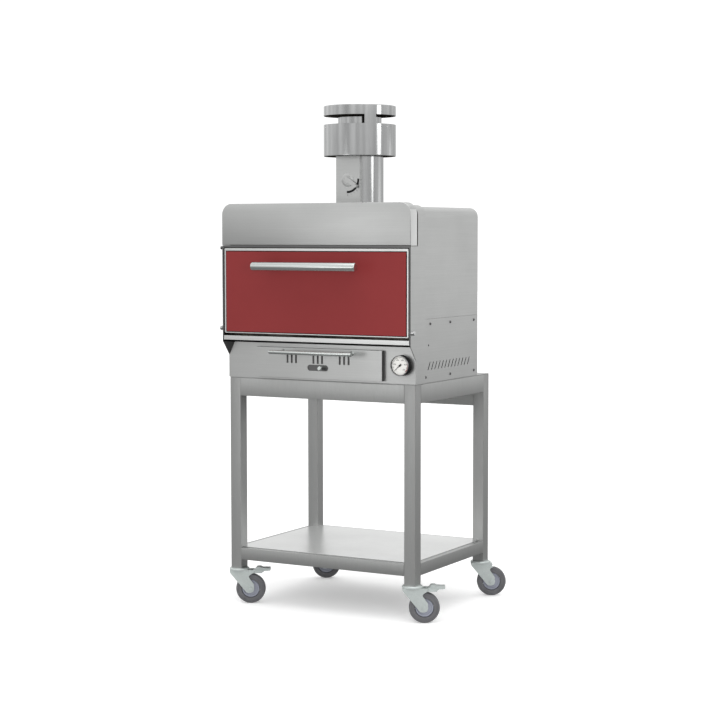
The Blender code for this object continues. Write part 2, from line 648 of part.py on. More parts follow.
# ---- thermometer --------------------------------------------------------------------------
def build_thermometer(base):
    centre = (DIAL_X, 0.0, DIAL_Z)
    case = [(0.0, 0.006), (0.0302, 0.006), (0.0302, 0.024), (0.0318, 0.0245), (DIAL_R, 0.0225),
            (DIAL_R, GAP), (0.0052, GAP), (0.0052, -0.022), (0.0, -0.022)]
    finish(turned("thermometer_case", case, centre, "Y", 32), STEEL, base)
    finish(cylinder("thermometer_dial", (DIAL_X, -0.0175, DIAL_Z), 0.0298, 0.0010, "Y", 24), DIAL_WHITE, base)
    glass = cylinder("thermometer_glass", (DIAL_X, -0.0230, DIAL_Z), 0.0298, 0.0010, "Y", 24)
    finish(glass, GLASS, base)
    spindle = empty("needle_spindle", (DIAL_X, -0.0200, DIAL_Z), base)
    blade = [(-0.0022, -0.0075), (0.0022, -0.0075), (0.0013, 0.004), (0.0004, 0.0225), (-0.0004, 0.0225),
             (-0.0013, 0.004)]
    needle = flat("thermometer_needle", [blade], 0.0006, "Y", (0.0, 0.0, 0.0))
    hub = cylinder("needle_hub", (0.0, 0.0, 0.0), 0.0035, 0.0016, "Y", 10)
    weld(needle, hub)
    finish(needle, BLACK, base)
    rest = radians(-132.0)
    needle.parent = spindle
    hub.parent = spindle
    needle.rotation_euler = (0.0, rest, 0.0)


# ---- door ---------------------------------------------------------------------------------
def build_door(base):
    hinge = empty("door_hinge", (0.0, HINGE_Y, HINGE_Z), base)
    back = DOOR_Y + DOOR_DEPTH
    shell = box("door_shell", (-DOOR_HALF, DOOR_Y, DOOR_LOW), (DOOR_HALF, back, DOOR_HIGH))
    room = box("door_room", (-DOOR_HALF + SHEET, DOOR_Y + SHEET, DOOR_LOW + SHEET),
               (DOOR_HALF - SHEET, back + 0.01, DOOR_HIGH - SHEET))
    cut(shell, room)
    for side in (-1, 1):
        cut(shell, cylinder("shell_pin_hole", (side * DOOR_HALF, HINGE_Y, HINGE_Z), 0.0034, 0.020, "X", 12))
    finish(shell, STEEL, base, hinge)

    inset = SHEET + GAP
    liner = box("door_liner", (-DOOR_HALF + inset, back - SHEET, DOOR_LOW + inset),
                (DOOR_HALF - inset, back, DOOR_HIGH - inset))
    finish(liner, STEEL, base, hinge)

    panel = box("door_panel", (-0.337, DOOR_Y - GAP - 0.0025, 0.1555), (0.337, DOOR_Y - GAP, 0.4205))
    finish(panel, RED, base, hinge)

    bar = rod("door_handle", [(-HANDLE_HALF, HANDLE_Y, HANDLE_Z), (HANDLE_HALF, HANDLE_Y, HANDLE_Z)],
              HANDLE_R, 6)
    for side in (-1, 1):
        weld(bar, rod("handle_post", [(side * HANDLE_POST_X, DOOR_Y - 0.0031, HANDLE_Z),
                                      (side * HANDLE_POST_X, HANDLE_Y, HANDLE_Z)], 0.007))
    finish(bar, STEEL, base, hinge)

    for side, name in ((-1, "left"), (1, "right")):
        pin = [(0.0, 0.3650), (0.0055, 0.3650), (0.0075, 0.3630), (0.0075, 0.3538), (0.003, 0.3538),
               (0.003, 0.3385), (0.0, 0.3385)]
        mirrored = [(radius, side * height) for radius, height in pin]
        finish(turned("hinge_pin_" + name, mirrored, (0.0, HINGE_Y, HINGE_Z), "X", 14), STEEL, base)


# ---- flue and cap -------------------------------------------------------------------------
def build_flue(base):
    low, high = CAVITY_HIGH + 0.003 + GAP, 0.742
    wall = 0.0015
    pipe_profile = [(FLUE_R - wall, high), (FLUE_R, high), (FLUE_R, low), (FLUE_R - wall, low)]
    pipe = turned("flue_pipe", pipe_profile, (0.0, FLUE_Y, 0.0), "Z", 32)
    cut(pipe, cylinder("shaft_hole", (0.0, FLUE_Y, DAMPER_Z), 0.0044, 0.20, "Y", 12))
    finish(pipe, STEEL, base)

    half, front, rear = 0.045, FLUE_Y - 0.0825, FLUE_Y - 0.0675
    channel = [(-half, front), (half, front), (half, rear), (half - wall, rear), (half - wall, front + wall),
               (-half + wall, front + wall), (-half + wall, rear), (-half, rear)]
    bottom, top = JACKET_HIGH + GAP, CAP_LOW - GAP
    housing = flat("damper_housing", [channel], top - bottom, "Z", (0.0, 0.0, (top + bottom) / 2))
    arc = arc_slot(0.0, DAMPER_Z, LEVER_R, 0.0075, radians(-96.0), radians(6.0))
    cut(housing, flat("quadrant_slot", [arc], 0.02, "Y", (0.0, front, 0.0)),
        cylinder("pivot_hole", (0.0, front, DAMPER_Z), 0.0044, 0.02, "Y", 12))
    finish(housing, STEEL, base)

    pivot = empty("damper_pivot", (0.0, FLUE_Y, DAMPER_Z), base)
    pivot.rotation_euler = (0.0, -DAMPER_REST, 0.0)
    disc = cylinder("damper_disc", (0.0, 0.0, 0.0), FLUE_R - 0.0035, 0.002, "Z", 28)
    shaft = rod("damper_shaft", [(0.0, -0.0855, 0.0), (0.0, 0.0825, 0.0)], 0.004)
    weld(disc, shaft)
    finish(disc, IRON, pivot)

    lever_y = front - 0.0060 - FLUE_Y
    arm = rounded([(-0.010, -0.010, 0.0099), (LEVER_R + 0.006, -0.005, 0.0049), (LEVER_R + 0.006, 0.005, 0.0049),
                   (-0.010, 0.010, 0.0099)], 4)
    lever = flat("damper_lever", [arm], 0.0025, "Y", (0.0, lever_y + 0.00125, 0.0))
    knob = cylinder("lever_knob", (LEVER_R, lever_y - 0.006, 0.0), 0.0065, 0.013, "Y", 12)
    tail = cylinder("lever_tail", (LEVER_R, lever_y + 0.00425, 0.0), 0.0030, 0.0065, "Y", 8)
    weld(lever, knob, tail)
    finish(lever, IRON, pivot)

    drum_profile = [(0.0, CAP_HIGH), (CAP_R, CAP_HIGH), (CAP_R, CAP_LOW), (CAP_R - wall, CAP_LOW),
                    (CAP_R - wall, CAP_HIGH - wall), (0.0, CAP_HIGH - wall)]
    drum = turned("cap_drum", drum_profile, (0.0, FLUE_Y, 0.0), "Z", 40)
    window_low, window_high, post_half = 0.8435, 0.873, 0.020
    windows = cylinder("windows", (0.0, FLUE_Y, (window_low + window_high) / 2), CAP_R + 0.01,
                       window_high - window_low, "Z", 32)
    posts = box("posts", (-0.2, -post_half, -0.05), (0.2, post_half, 0.05))
    posts.location = (0.0, FLUE_Y, (window_low + window_high) / 2)
    posts.rotation_euler = (0.0, 0.0, radians(-44.0))
    cut(drum, merged(cut(windows, posts), "drum_windows"))
    finish(drum, STEEL, base)

    seat = 0.742 + GAP
    spigot_profile = [(SPIGOT_R - wall, 0.868), (SPIGOT_R, 0.868), (SPIGOT_R, seat + 0.002),
                      (FLUE_R, seat + 0.002), (FLUE_R, seat), (SPIGOT_R, seat), (SPIGOT_R, 0.722),
                      (SPIGOT_R - wall, 0.722)]
    spigot = turned("cap_spigot", spigot_profile, (0.0, FLUE_Y, 0.0), "Z", 32)
    for index in range(3):
        turn = radians(90.0 + 120.0 * index)
        arm_start, arm_end = SPIGOT_R - 0.0007, CAP_R - wall - 0.0010
        arm_mid, arm_half = (arm_start + arm_end) / 2, (arm_end - arm_start) / 2
        strut = box("strut", (-arm_half, -0.001, -0.0125), (arm_half, 0.001, 0.0125))
        strut.location = (arm_mid * cos(turn), FLUE_Y + arm_mid * sin(turn), 0.790)
        strut.rotation_euler = (0.0, 0.0, turn)
        weld(spigot, strut)
    finish(spigot, STEEL, base)


def main():
    clear_scene()
    shift = (-(REACH_RIGHT - REACH_LEFT) / 2, -(REACH_BACK - REACH_FRONT) / 2, 0.0)
    root = empty("oven_origin", shift)
    base = empty("oven_base", (0.0, -STAND_D / 2, STAND_H), root)
    build_stand(root)
    build_casters(root)
    build_casing(base)
    build_firebox(base)
    build_drawer(base)
    build_thermometer(base)
    build_door(base)
    build_flue(base)


main()
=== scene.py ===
"""Visual model of a charcoal and wood fired oven on a wheeled stand.

Metres, +Z up, front facing -Y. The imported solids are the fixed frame. Every piece that is made
here rides on one of their bodies, and its place is read from them.
"""

from __future__ import annotations

import logging
import math
import sys
from contextlib import contextmanager
from dataclasses import dataclass
from enum import Enum
from itertools import pairwise
from typing import Callable, Iterator, Sequence

import bmesh
import bpy
from mathutils import Matrix, Vector

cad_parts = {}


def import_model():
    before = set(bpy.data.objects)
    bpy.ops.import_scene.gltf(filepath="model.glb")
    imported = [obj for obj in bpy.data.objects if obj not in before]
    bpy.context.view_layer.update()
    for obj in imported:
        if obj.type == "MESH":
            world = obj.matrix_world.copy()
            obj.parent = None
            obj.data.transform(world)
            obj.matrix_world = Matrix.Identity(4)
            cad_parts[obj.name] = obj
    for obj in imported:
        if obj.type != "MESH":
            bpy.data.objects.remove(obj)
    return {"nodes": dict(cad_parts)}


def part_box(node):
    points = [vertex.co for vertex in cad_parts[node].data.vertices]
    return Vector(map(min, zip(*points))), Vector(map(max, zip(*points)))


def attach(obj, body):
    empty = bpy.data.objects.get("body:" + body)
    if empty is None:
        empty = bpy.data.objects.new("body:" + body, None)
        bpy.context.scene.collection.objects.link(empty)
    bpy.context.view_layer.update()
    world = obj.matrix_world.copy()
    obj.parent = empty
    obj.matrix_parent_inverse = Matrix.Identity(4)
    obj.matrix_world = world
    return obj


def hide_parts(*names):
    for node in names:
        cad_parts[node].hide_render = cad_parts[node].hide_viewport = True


LOG = logging.getLogger("charcoal_oven")

Piece, Tree = bpy.types.Object, bpy.types.NodeTree
Test = Callable[[Vector, Vector], bool]      # takes a middle and a direction
Pairs = Sequence[tuple[float, float]]        # of a turned shape: (radius, distance along its axis)
Triple = tuple[float, float, float]

ROOT = "oven_and_stand"
CORNERS = ("front_left", "front_right", "rear_left", "rear_right")
QUARTER = math.pi / 2
# How a shape that looks up is turned to look in each direction.
FRONT, REAR = (QUARTER, 0.0, 0.0), (-QUARTER, 0.0, 0.0)
RIGHT, LEFT = (0.0, QUARTER, 0.0), (0.0, -QUARTER, 0.0)
ALIGNED = 0.9                # cosine from which two directions count as the same
PRINT = 0.0001               # half the height of printed strokes


class Axis(Enum):
    """The three directions of the frame."""

    X = Vector((1.0, 0.0, 0.0))
    Y = Vector((0.0, 1.0, 0.0))
    Z = Vector((0.0, 0.0, 1.0))

    def lift(self, across: float, along: float) -> Vector:
        """Point of a profile at a distance from this axis and a distance along it."""
        side = Axis.Y if self is Axis.X else Axis.X
        return side.value * across + self.value * along

    def turn(self) -> Triple:
        """Rotation that takes a shape standing along Z to this axis."""
        return {Axis.X: RIGHT, Axis.Y: FRONT, Axis.Z: (0.0, 0.0, 0.0)}[self]

    def along(self, middle: Vector, way: Vector) -> bool:
        """Whether an edge runs along this axis, or a face looks along it."""
        return abs(way.dot(self.value)) > ALIGNED


class Part(Enum):
    """What a selection is made of."""

    VERT = "verts"
    EDGE = "edges"
    FACE = "faces"


# ---- bench: the modelling steps
def deselect() -> None:
    """Leave edit mode and select nothing."""
    if bpy.context.mode != "OBJECT":
        bpy.ops.object.mode_set(mode="OBJECT")
    bpy.ops.object.select_all(action="DESELECT")


def choose(*pieces: Piece) -> None:
    """Select pieces, the last one active."""
    deselect()
    for piece in pieces:
        piece.select_set(True)
    bpy.context.view_layer.objects.active = pieces[-1]


def settle(piece: Piece, name: str = "") -> Piece:
    """Move a piece's place and turn into its mesh, and rename it where a name is given."""
    choose(piece)
    piece.name = name or piece.name
    bpy.ops.object.transform_apply(location=True, rotation=True, scale=True)
    return piece


@contextmanager
def editing(piece: Piece, part: Part = Part.FACE) -> Iterator[None]:
    """Edit mode on one piece, with nothing selected."""
    choose(piece)
    bpy.ops.object.mode_set(mode="EDIT")
    bpy.ops.mesh.select_mode(type=part.name)
    bpy.ops.mesh.select_all(action="DESELECT")
    yield
    bpy.ops.object.mode_set(mode="OBJECT")


def pick(part: Part, test: Test) -> None:
    """Select what passes a test in the piece that is being edited.

    Args:
        part: what to select.
        test: takes the middle and the direction (an edge's run, a face's normal) of each one.
    """
    bpy.ops.mesh.select_mode(type=part.name)
    bpy.ops.mesh.select_all(action="DESELECT")
    mesh = bpy.context.object.data
    work = bmesh.from_edit_mesh(mesh)
    for item in getattr(work, part.value):
        if part is Part.VERT:
            middle, way = item.co, item.normal
        elif part is Part.EDGE:
            first, second = (vert.co for vert in item.verts)
            middle, way = (first + second) / 2, (second - first).normalized()
        else:
            middle, way = item.calc_center_median(), item.normal
        if test(middle, way):
            item.select_set(True)
    work.select_flush_mode()
    bmesh.update_edit_mesh(mesh)


def weld(distance: float) -> None:
    """Merge the vertices of the edited piece that lie together."""
    bpy.ops.mesh.select_all(action="SELECT")
    bpy.ops.mesh.remove_doubles(threshold=distance)


def rounded(piece: Piece, test: Test, radius: float, segments: int, part: Part = Part.EDGE) -> Piece:
    """Bevel the edges, or the rims of the faces, that pass a test."""
    with editing(piece):
        pick(part, test)
        bpy.ops.mesh.bevel(offset=radius, segments=segments, affect="EDGES")
    return piece


def opened(piece: Piece, test: Test) -> Piece:
    """Take away the faces that pass a test."""
    with editing(piece):
        pick(Part.FACE, test)
        bpy.ops.mesh.delete(type="FACE")
    return piece


def block(name: str, low: Vector, high: Vector) -> Piece:
    """A box between two corners, ready to be shaped."""
    deselect()
    low, high = Vector(low), Vector(high)
    bpy.ops.mesh.primitive_cube_add(size=1.0, location=(low + high) / 2, scale=high - low)
    return settle(bpy.context.object, name)


def disc(name: str, centre: Vector, radius: float, depth: float, axis: Axis = Axis.Z,
         sides: int = 48) -> Piece:
    """A cylinder about an axis, ready to be shaped."""
    deselect()
    bpy.ops.mesh.primitive_cylinder_add(vertices=sides, radius=radius, depth=depth, location=centre,
                                        rotation=axis.turn())
    return settle(bpy.context.object, name)


def traced(name: str, points: Sequence[Vector], closed: bool) -> Piece:
    """Edges drawn from point to point by extruding one vertex.

    Args:
        name: the new piece's name.
        points: where the line goes.
        closed: whether the last point joins the first.

    Returns:
        The piece, which has edges only.
    """
    deselect()
    bpy.ops.mesh.primitive_plane_add(size=0.001, location=points[0])
    piece = settle(bpy.context.object, name)
    stops = [*points, points[0]] if closed else list(points)
    with editing(piece, Part.VERT):
        bpy.ops.mesh.select_all(action="SELECT")
        bpy.ops.mesh.merge(type="CENTER")
        for here, there in pairwise(stops):
            bpy.ops.mesh.extrude_vertices_move(TRANSFORM_OT_translate={"value": there - here})
        if closed:
            weld(1e-6)
    return piece


def mirrored(side: Pairs) -> list[tuple[float, float]]:
    """Half of a profile, followed by its mirror image from the far end back."""
    return [*side, *((radius, -along) for radius, along in reversed(side))]


def turned(name: str, profile: Pairs, centre: Vector, axis: Axis = Axis.Z,
           steps: int = 64, closed: bool = False) -> Piece:
    """A shape turned on a lathe.

    Args:
        name: the new piece's name.
        profile: (radius, distance along the axis) from end to end.
        centre: the point that the distances are measured from.
        axis: the lathe's axis.
        steps: facets round the turn.
        closed: whether the profile closes on itself, as a tube's does.

    Returns:
        The closed piece.
    """
    piece = traced(name, [Vector(centre) + axis.lift(*point) for point in profile], closed)
    with editing(piece, Part.VERT):
        bpy.ops.mesh.select_all(action="SELECT")
        bpy.ops.mesh.spin(steps=steps, angle=2 * math.pi, center=centre, axis=axis.value)
        weld(1e-5)
        bpy.ops.mesh.normals_make_consistent(inside=False)
    return piece


def plate(name: str, outline: Sequence[Vector], thickness: Vector) -> Piece:
    """A flat sheet: an outline is drawn, filled and extruded by its thickness."""
    piece = traced(name, outline, closed=True)
    with editing(piece, Part.VERT):
        bpy.ops.mesh.select_all(action="SELECT")
        bpy.ops.mesh.edge_face_add()
        bpy.ops.mesh.extrude_region_move(TRANSFORM_OT_translate={"value": thickness})
        bpy.ops.mesh.select_all(action="SELECT")
        bpy.ops.mesh.normals_make_consistent(inside=False)
    return piece


def apply(piece: Piece, kind: str, **settings: object) -> Piece:
    """Add one modifier with its settings and apply it."""
    choose(piece)
    modifier = piece.modifiers.new(kind.lower(), kind)
    for key, value in settings.items():
        setattr(modifier, key, value)
    bpy.ops.object.modifier_apply(modifier=modifier.name)
    return piece


def walled(piece: Piece, thickness: float) -> Piece:
    """Give open faces a wall that grows inwards."""
    return apply(piece, "SOLIDIFY", thickness=thickness, offset=-1.0, use_even_offset=True)


def smooth(piece: Piece, angle: float = 32.0) -> Piece:
    """Smooth the round faces and keep the flat ones flat."""
    choose(piece)
    bpy.ops.object.shade_smooth_by_angle(angle=math.radians(angle))
    return piece


def eased(piece: Piece, width: float, segments: int = 2, angle: float = 30.0) -> Piece:
    """Take the sharp edges off a piece and shade it."""
    apply(piece, "BEVEL", width=width, segments=segments, limit_method="ANGLE",
          angle_limit=math.radians(angle), use_clamp_overlap=True, harden_normals=False)
    smooth(piece)
    return apply(piece, "WEIGHTED_NORMAL", keep_sharp=True)


def carved(piece: Piece, *tools: Piece) -> Piece:
    """Cut tools out of a piece and throw them away."""
    for tool in tools:
        apply(piece, "BOOLEAN", operation="DIFFERENCE", solver="EXACT", object=tool)
        bpy.data.objects.remove(tool, do_unlink=True)
    return piece


def joined(name: str, pieces: Sequence[Piece]) -> Piece:
    """Several pieces as one."""
    choose(*pieces)
    if len(pieces) > 1:
        bpy.ops.object.join()
    whole = bpy.context.object
    whole.name = name
    return whole


def copied(piece: Piece, name: str, place: Matrix) -> Piece:
    """A copy with its own mesh, moved and turned by a matrix that then goes into the mesh."""
    choose(piece)
    bpy.ops.object.duplicate(linked=False)
    twin = bpy.context.object
    twin.matrix_world = place
    return settle(twin, name)


def spread(piece: Piece, name: str, places: Sequence[Matrix]) -> Piece:
    """Copies of one small piece at every place, as one piece; the pattern is thrown away."""
    twins = [copied(piece, f"{name}_{index}", place) for index, place in enumerate(places)]
    bpy.data.objects.remove(piece, do_unlink=True)
    return joined(name, twins)


def stand_at(place: Vector, turn: Triple = (0.0, 0.0, 0.0)) -> Matrix:
    """Matrix of a place and a turn about X, then Y, then Z."""
    return (Matrix.Translation(place) @ Matrix.Rotation(turn[2], 4, "Z") @ Matrix.Rotation(turn[1], 4, "Y")
            @ Matrix.Rotation(turn[0], 4, "X"))


def centre_of(node: str) -> Vector:
    """Middle of a solid's box."""
    low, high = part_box(node)
    return (low + high) / 2


def eased_copy(node: str, name: str, width: float, segments: int) -> Piece:
    """A copy of a solid with its triangles merged into whole faces and its edges eased."""
    choose(FRAME["nodes"][node])
    bpy.ops.object.duplicate(linked=False)
    piece = bpy.context.object
    piece.parent = None
    piece.matrix_world = Matrix.Identity(4)
    for key in list(piece.keys()):
        del piece[key]
    piece.name = name
    bpy.ops.mesh.customdata_custom_splitnormals_clear()
    with editing(piece, Part.VERT):
        weld(2e-5)
        bpy.ops.mesh.dissolve_limited(angle_limit=math.radians(0.6))
    return eased(piece, width, segments)


def strokes(name: str, marks: Sequence[tuple[Vector, float, float, float]]) -> Piece:
    """Thin marks in the plane of X and Z.

    Args:
        name: the new piece's name.
        marks: middle, angle clockwise from upright, length and half width of each.

    Returns:
        All of them as one piece.
    """
    made = []
    for middle, angle, length, half in marks:
        mark = block("mark", Vector((-half, -PRINT, -length / 2)), Vector((half, PRINT, length / 2)))
        mark.matrix_world = Matrix.Translation(middle) @ Matrix.Rotation(angle, 4, "Y")
        made.append(settle(mark))
    return joined(name, made)


# ---- finishes
def linear(code: str) -> tuple[float, float, float, float]:
    """Linear RGBA of an sRGB hex colour."""
    parts = [int(code[start:start + 2], 16) / 255 for start in (1, 3, 5)]
    red, green, blue = (p / 12.92 if p <= 0.04045 else ((p + 0.055) / 1.055) ** 2.4 for p in parts)
    return red, green, blue, 1.0


def add(tree: Tree, kind: str, inputs: dict | None = None, out: int | str = 0,
        **settings: object) -> bpy.types.NodeSocket:
    """Add one node.

    Args:
        tree: the material's nodes.
        kind: the node's type, without its "ShaderNode".
        inputs: a value or another node's output for each named or numbered input.
        out: the number or the name of the output that is wanted.
        settings: the node's own settings.

    Returns:
        That output.
    """
    made = tree.nodes.new("ShaderNode" + kind)
    for key, value in settings.items():
        setattr(made, key, value)
    for key, value in (inputs or {}).items():
        if isinstance(value, bpy.types.NodeSocket):
            tree.links.new(value, made.inputs[key])
        else:
            made.inputs[key].default_value = value
    return made.outputs[out]


@dataclass(frozen=True)
class Finish:
    """A surface: its name, the record's slot it belongs to, its colour and its gloss."""

    name: str
    slot: str
    dark: str
    light: str
    roughness: float
    metallic: float = 0.0
    spread: float = 0.06         # how far the roughness wanders
    cloud: float = 5.0           # patches per metre
    grain: Triple = (400.0, 400.0, 400.0)   # grains per metre along X, Y and Z
    relief: float = 0.00003      # height of the grain
    mottle: float = 0.5          # how much of the colour change follows the grain, not the patches

    def material(self) -> bpy.types.Material:
        """The material, made once."""
        found = bpy.data.materials.get(self.name)
        if found is None:
            found = bpy.data.materials.new(self.name)
            found.use_nodes = True
            self.paint(found.node_tree, found.node_tree.nodes["Principled BSDF"])
            found.diffuse_color = linear(self.light)
        return found

    def paint(self, tree: Tree, shader: bpy.types.Node) -> None:
        """Grain and patches set the colour, the roughness and the relief."""
        place = add(tree, "TexCoord", out="Object")
        scaled = add(tree, "Mapping", {"Vector": place, "Scale": self.grain})
        grain = add(tree, "TexNoise", {"Vector": scaled, "Scale": 1.0, "Detail": 3.0, "Roughness": 0.6})
        patch = add(tree, "TexNoise", {"Vector": place, "Scale": self.cloud, "Detail": 4.0})
        both = add(tree, "Mix", {"Factor": self.mottle, 2: patch, 3: grain})
        spreading = add(tree, "MapRange", {"Value": both, "From Min": 0.36, "From Max": 0.64})
        colour = add(tree, "Mix", {"Factor": spreading, 6: linear(self.dark), 7: linear(self.light)}, 2,
                     data_type="RGBA")
        rough = add(tree, "MapRange", {"Value": both, "From Min": 0.3, "From Max": 0.7,
                                       "To Min": self.roughness + self.spread,
                                       "To Max": self.roughness - self.spread})
        tree.links.new(colour, shader.inputs["Base Color"])
        tree.links.new(rough, shader.inputs["Roughness"])
        shader.inputs["Metallic"].default_value = self.metallic
        if self.relief:
            bump = add(tree, "Bump", {"Height": grain, "Distance": self.relief, "Strength": 1.0})
            tree.links.new(bump, shader.inputs["Normal"])
        self.touch(tree, shader)

    def touch(self, tree: Tree, shader: bpy.types.Node) -> None:
        """What a special finish adds."""


@dataclass(frozen=True)
class RedCoat(Finish):
    """Powder coat with hardly any gloss."""

    def touch(self, tree: Tree, shader: bpy.types.Node) -> None:
        """Lower the gloss."""
        shader.inputs["Specular IOR Level"].default_value = 0.25


@dataclass(frozen=True)
class BareSteel(Finish):
    """Bare steel with fine lines along X."""

    metallic: float = 1.0
    spread: float = 0.03
    grain: Triple = (3.0, 330.0, 330.0)
    relief: float = 0.000004


@dataclass(frozen=True)
class Glass(Finish):
    """Thin window glass, which bends nothing: what is behind it shows through."""

    clearness: float = 0.05      # how much of it the eye sees

    def touch(self, tree: Tree, shader: bpy.types.Node) -> None:
        """Let the light straight through."""
        shader.inputs["Alpha"].default_value = self.clearness


def even(count: float) -> Triple:
    """The same grain along X, Y and Z."""
    return count, count, count


# AISI 304 sheet, No. 4 finish: fine lines 0.2 mm apart that run along the sheet and spread every
# reflection across them. The lines are drawn 3 mm apart, since the real ones can't be seen.
STEEL = BareSteel("stainless_brushed_across", "brushed_steel", "#C0C1C0", "#C6C7C6", 0.38)
STEEL_SIDE = BareSteel("stainless_brushed_deep", "brushed_steel", "#BEBFBE", "#C4C5C4", 0.4,
                       grain=(330.0, 3.0, 330.0))
# The same sheet rolled and polished into a tube: the lines stand upright, 14 mm apart, and the
# reflections stay narrow.
STEEL_ROUND = BareSteel("stainless_polished_tube", "brushed_steel", "#B4B5B5", "#C4C5C5", 0.15, spread=0.04,
                        grain=(70.0, 70.0, 6.0), relief=0.00001)
# Round bar with a satin finish.
STEEL_BAR = BareSteel("stainless_satin_bar", "brushed_steel", "#CDD2D0", "#D5DAD8", 0.24,
                      grain=(6.0, 260.0, 260.0), relief=0.000006)
# The same sheet darkened as painted shade, for folds away from the light and faces beside a dark gap.
STEEL_SHADE = BareSteel("stainless_folded_edge", "brushed_steel", "#6A6A6A", "#747474", 0.42)
# The same sheet lightened as a painted highlight, for lips and borders whose brushed face is turned to the
# light.
STEEL_PAINTED_HIGHLIGHT = BareSteel("stainless_bright_lip", "brushed_steel", "#D8D9D8", "#DEDFDE", 0.36)
# The same sheet as it comes from the mill, 2B: a cloudy, slightly brighter surface.
STEEL_MILL = BareSteel("stainless_mill", "shelf_steel", "#DCDDDC", "#E2E3E2", 0.3, grain=even(60.0),
                       mottle=0.3)
# Welded square tube with a ground finish: duller and darker than the sheet.
TUBE_STEEL = BareSteel("ground_steel_tube", "stand_steel", "#B2B3B2", "#B7B8B7", 0.44,
                       grain=(200.0, 200.0, 30.0))
# Heat-proof powder coat, 60 micrometres thick: even and matt, with an orange peel of about 1 mm.
RED = RedCoat("red_powder_coat", "red_enamel", "#702021", "#762324", 0.55, spread=0.04, cloud=2.5,
              grain=even(700.0), relief=0.00004, mottle=0.25)
# Grey cast iron from a sand mould: near black, 1 mm sand grain.
IRON = Finish("sand_cast_iron", "cast_iron", "#232322", "#343332", 0.72, 0.7, spread=0.08,
              grain=even(900.0), relief=0.0002)
# Bright zinc electroplate: faintly blue, with a soft bloom.
ZINC = Finish("bright_zinc", "zinc_plate", "#B7BEBC", "#C6CDCB", 0.32, 0.5, cloud=30.0, grain=even(300.0),
              relief=0.00001)
# Grey thermoplastic rubber, moulded: matt, slightly scuffed.
RUBBER = Finish("grey_tread_rubber", "grey_rubber", "#525254", "#5E5E61", 0.62, cloud=40.0,
                grain=even(500.0), relief=0.00005)
# Polypropylene hub, moulded: smoother and bluer than the tread.
HUB = Finish("grey_hub_plastic", "grey_rubber", "#7E818C", "#888B97", 0.42, cloud=30.0)
# Steel that has had fire against it: brown and blue-grey soot in soft patches.
SOOTED = Finish("sooted_steel", "brushed_steel", "#2B2724", "#6B655F", 0.55, 0.85, spread=0.12, cloud=9.0,
                grain=even(60.0), relief=0.00004, mottle=0.3)
# Mineral wool: yellow-brown fibre, fully matt.
WOOL = Finish("loose_stone_wool", "mineral_wool", "#8F8257", "#BFB184", 0.95, spread=0.03, cloud=30.0,
              grain=(250.0, 60.0, 250.0), relief=0.0006)
# Braided glass-fibre rope: off-white strands 1.5 mm wide, greyed by smoke.
BRAID = Finish("glass_fibre_rope", "mineral_wool", "#57534C", "#8C877C", 0.92, spread=0.03, cloud=60.0,
               grain=even(650.0), relief=0.0005)
# White enamelled dial plate with a satin print.
DIAL = Finish("white_dial_enamel", "dial_white", "#D5D4D0", "#DEDDD9", 0.42, spread=0.03, cloud=40.0,
              grain=even(900.0), relief=0.00001)
# Black screen-printing ink and the same black paint on the needle.
INK = Finish("black_ink", "black_paint", "#0E0E0E", "#1A1A1A", 0.5, cloud=90.0, grain=even(900.0),
             relief=0.00001)
# Red screen-printing ink.
RED_INK = Finish("red_ink", "red_enamel", "#A8322C", "#B83A33", 0.5, cloud=90.0, grain=even(900.0),
                 relief=0.00001)
# Soda-lime glass, 1 mm, in front of the dial.
CLEAR = Glass("thin_window_glass", "dial_glass", "#1E2322", "#262B2A", 0.08, spread=0.03, cloud=25.0,
              relief=0.0)
# Black phosphate over steel: screws, races and plugs. The same near black is painted shade on the inside of
# gaps and recesses, and on plates put behind seams and slots.
BLACKED_AND_SHADE = Finish("phosphated_steel", "cast_iron", "#151516", "#1D1D1E", 0.5, 0.6, cloud=120.0,
                 grain=even(900.0))


def dress(piece: Piece, finish: Finish, body: str = ROOT, *replaced: str) -> Piece:
    """Give a piece its finish, its body and the solids that it stands for, and report it."""
    piece.data.materials.clear()
    piece.data.materials.append(finish.material())
    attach(piece, body)
    if replaced:
        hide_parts(*replaced)
    LOG.info("%s: %s on %s, %d faces", piece.name, finish.name, body, len(piece.data.polygons))
    return piece


def remade(node: str, name: str, width: float, segments: int, finish: Finish, body: str = ROOT) -> Piece:
    """A solid made anew under another name, with eased edges and its finish."""
    return dress(eased_copy(node, name, width, segments), finish, body, node)


def tint(piece: Piece, finish: Finish, test: Test) -> None:
    """Give the faces of a dressed piece that pass a test a finish of their own.

    Args:
        piece: the piece, at the origin.
        finish: the second finish.
        test: takes the middle and the normal of each face.
    """
    piece.data.materials.append(finish.material())
    for face in piece.data.polygons:
        if test(face.center, face.normal):
            face.material_index = len(piece.data.materials) - 1


def coat(node: str, finish: Finish) -> None:
    """Give a solid that stays as it is its finish."""
    piece = FRAME["nodes"][node]
    piece.data.materials.clear()
    piece.data.materials.append(finish.material())


# ---- places
@dataclass(frozen=True)
class Datum:
    """Where the oven stands: its centre line, the stand's front face and the table top."""

    oven: Vector

    @classmethod
    def read(cls) -> Datum:
        """Take the datum from the table top."""
        low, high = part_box("table_top")
        return cls(Vector(((low.x + high.x) / 2, low.y, high.z)))

    def at(self, across: float, deep: float, up: float) -> Vector:
        """A point given from the datum."""
        return self.oven + Vector((across, deep, up))

    def front_of(self, node: str) -> float:
        """How deep the front of a solid's box is."""
        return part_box(node)[0].y - self.oven.y


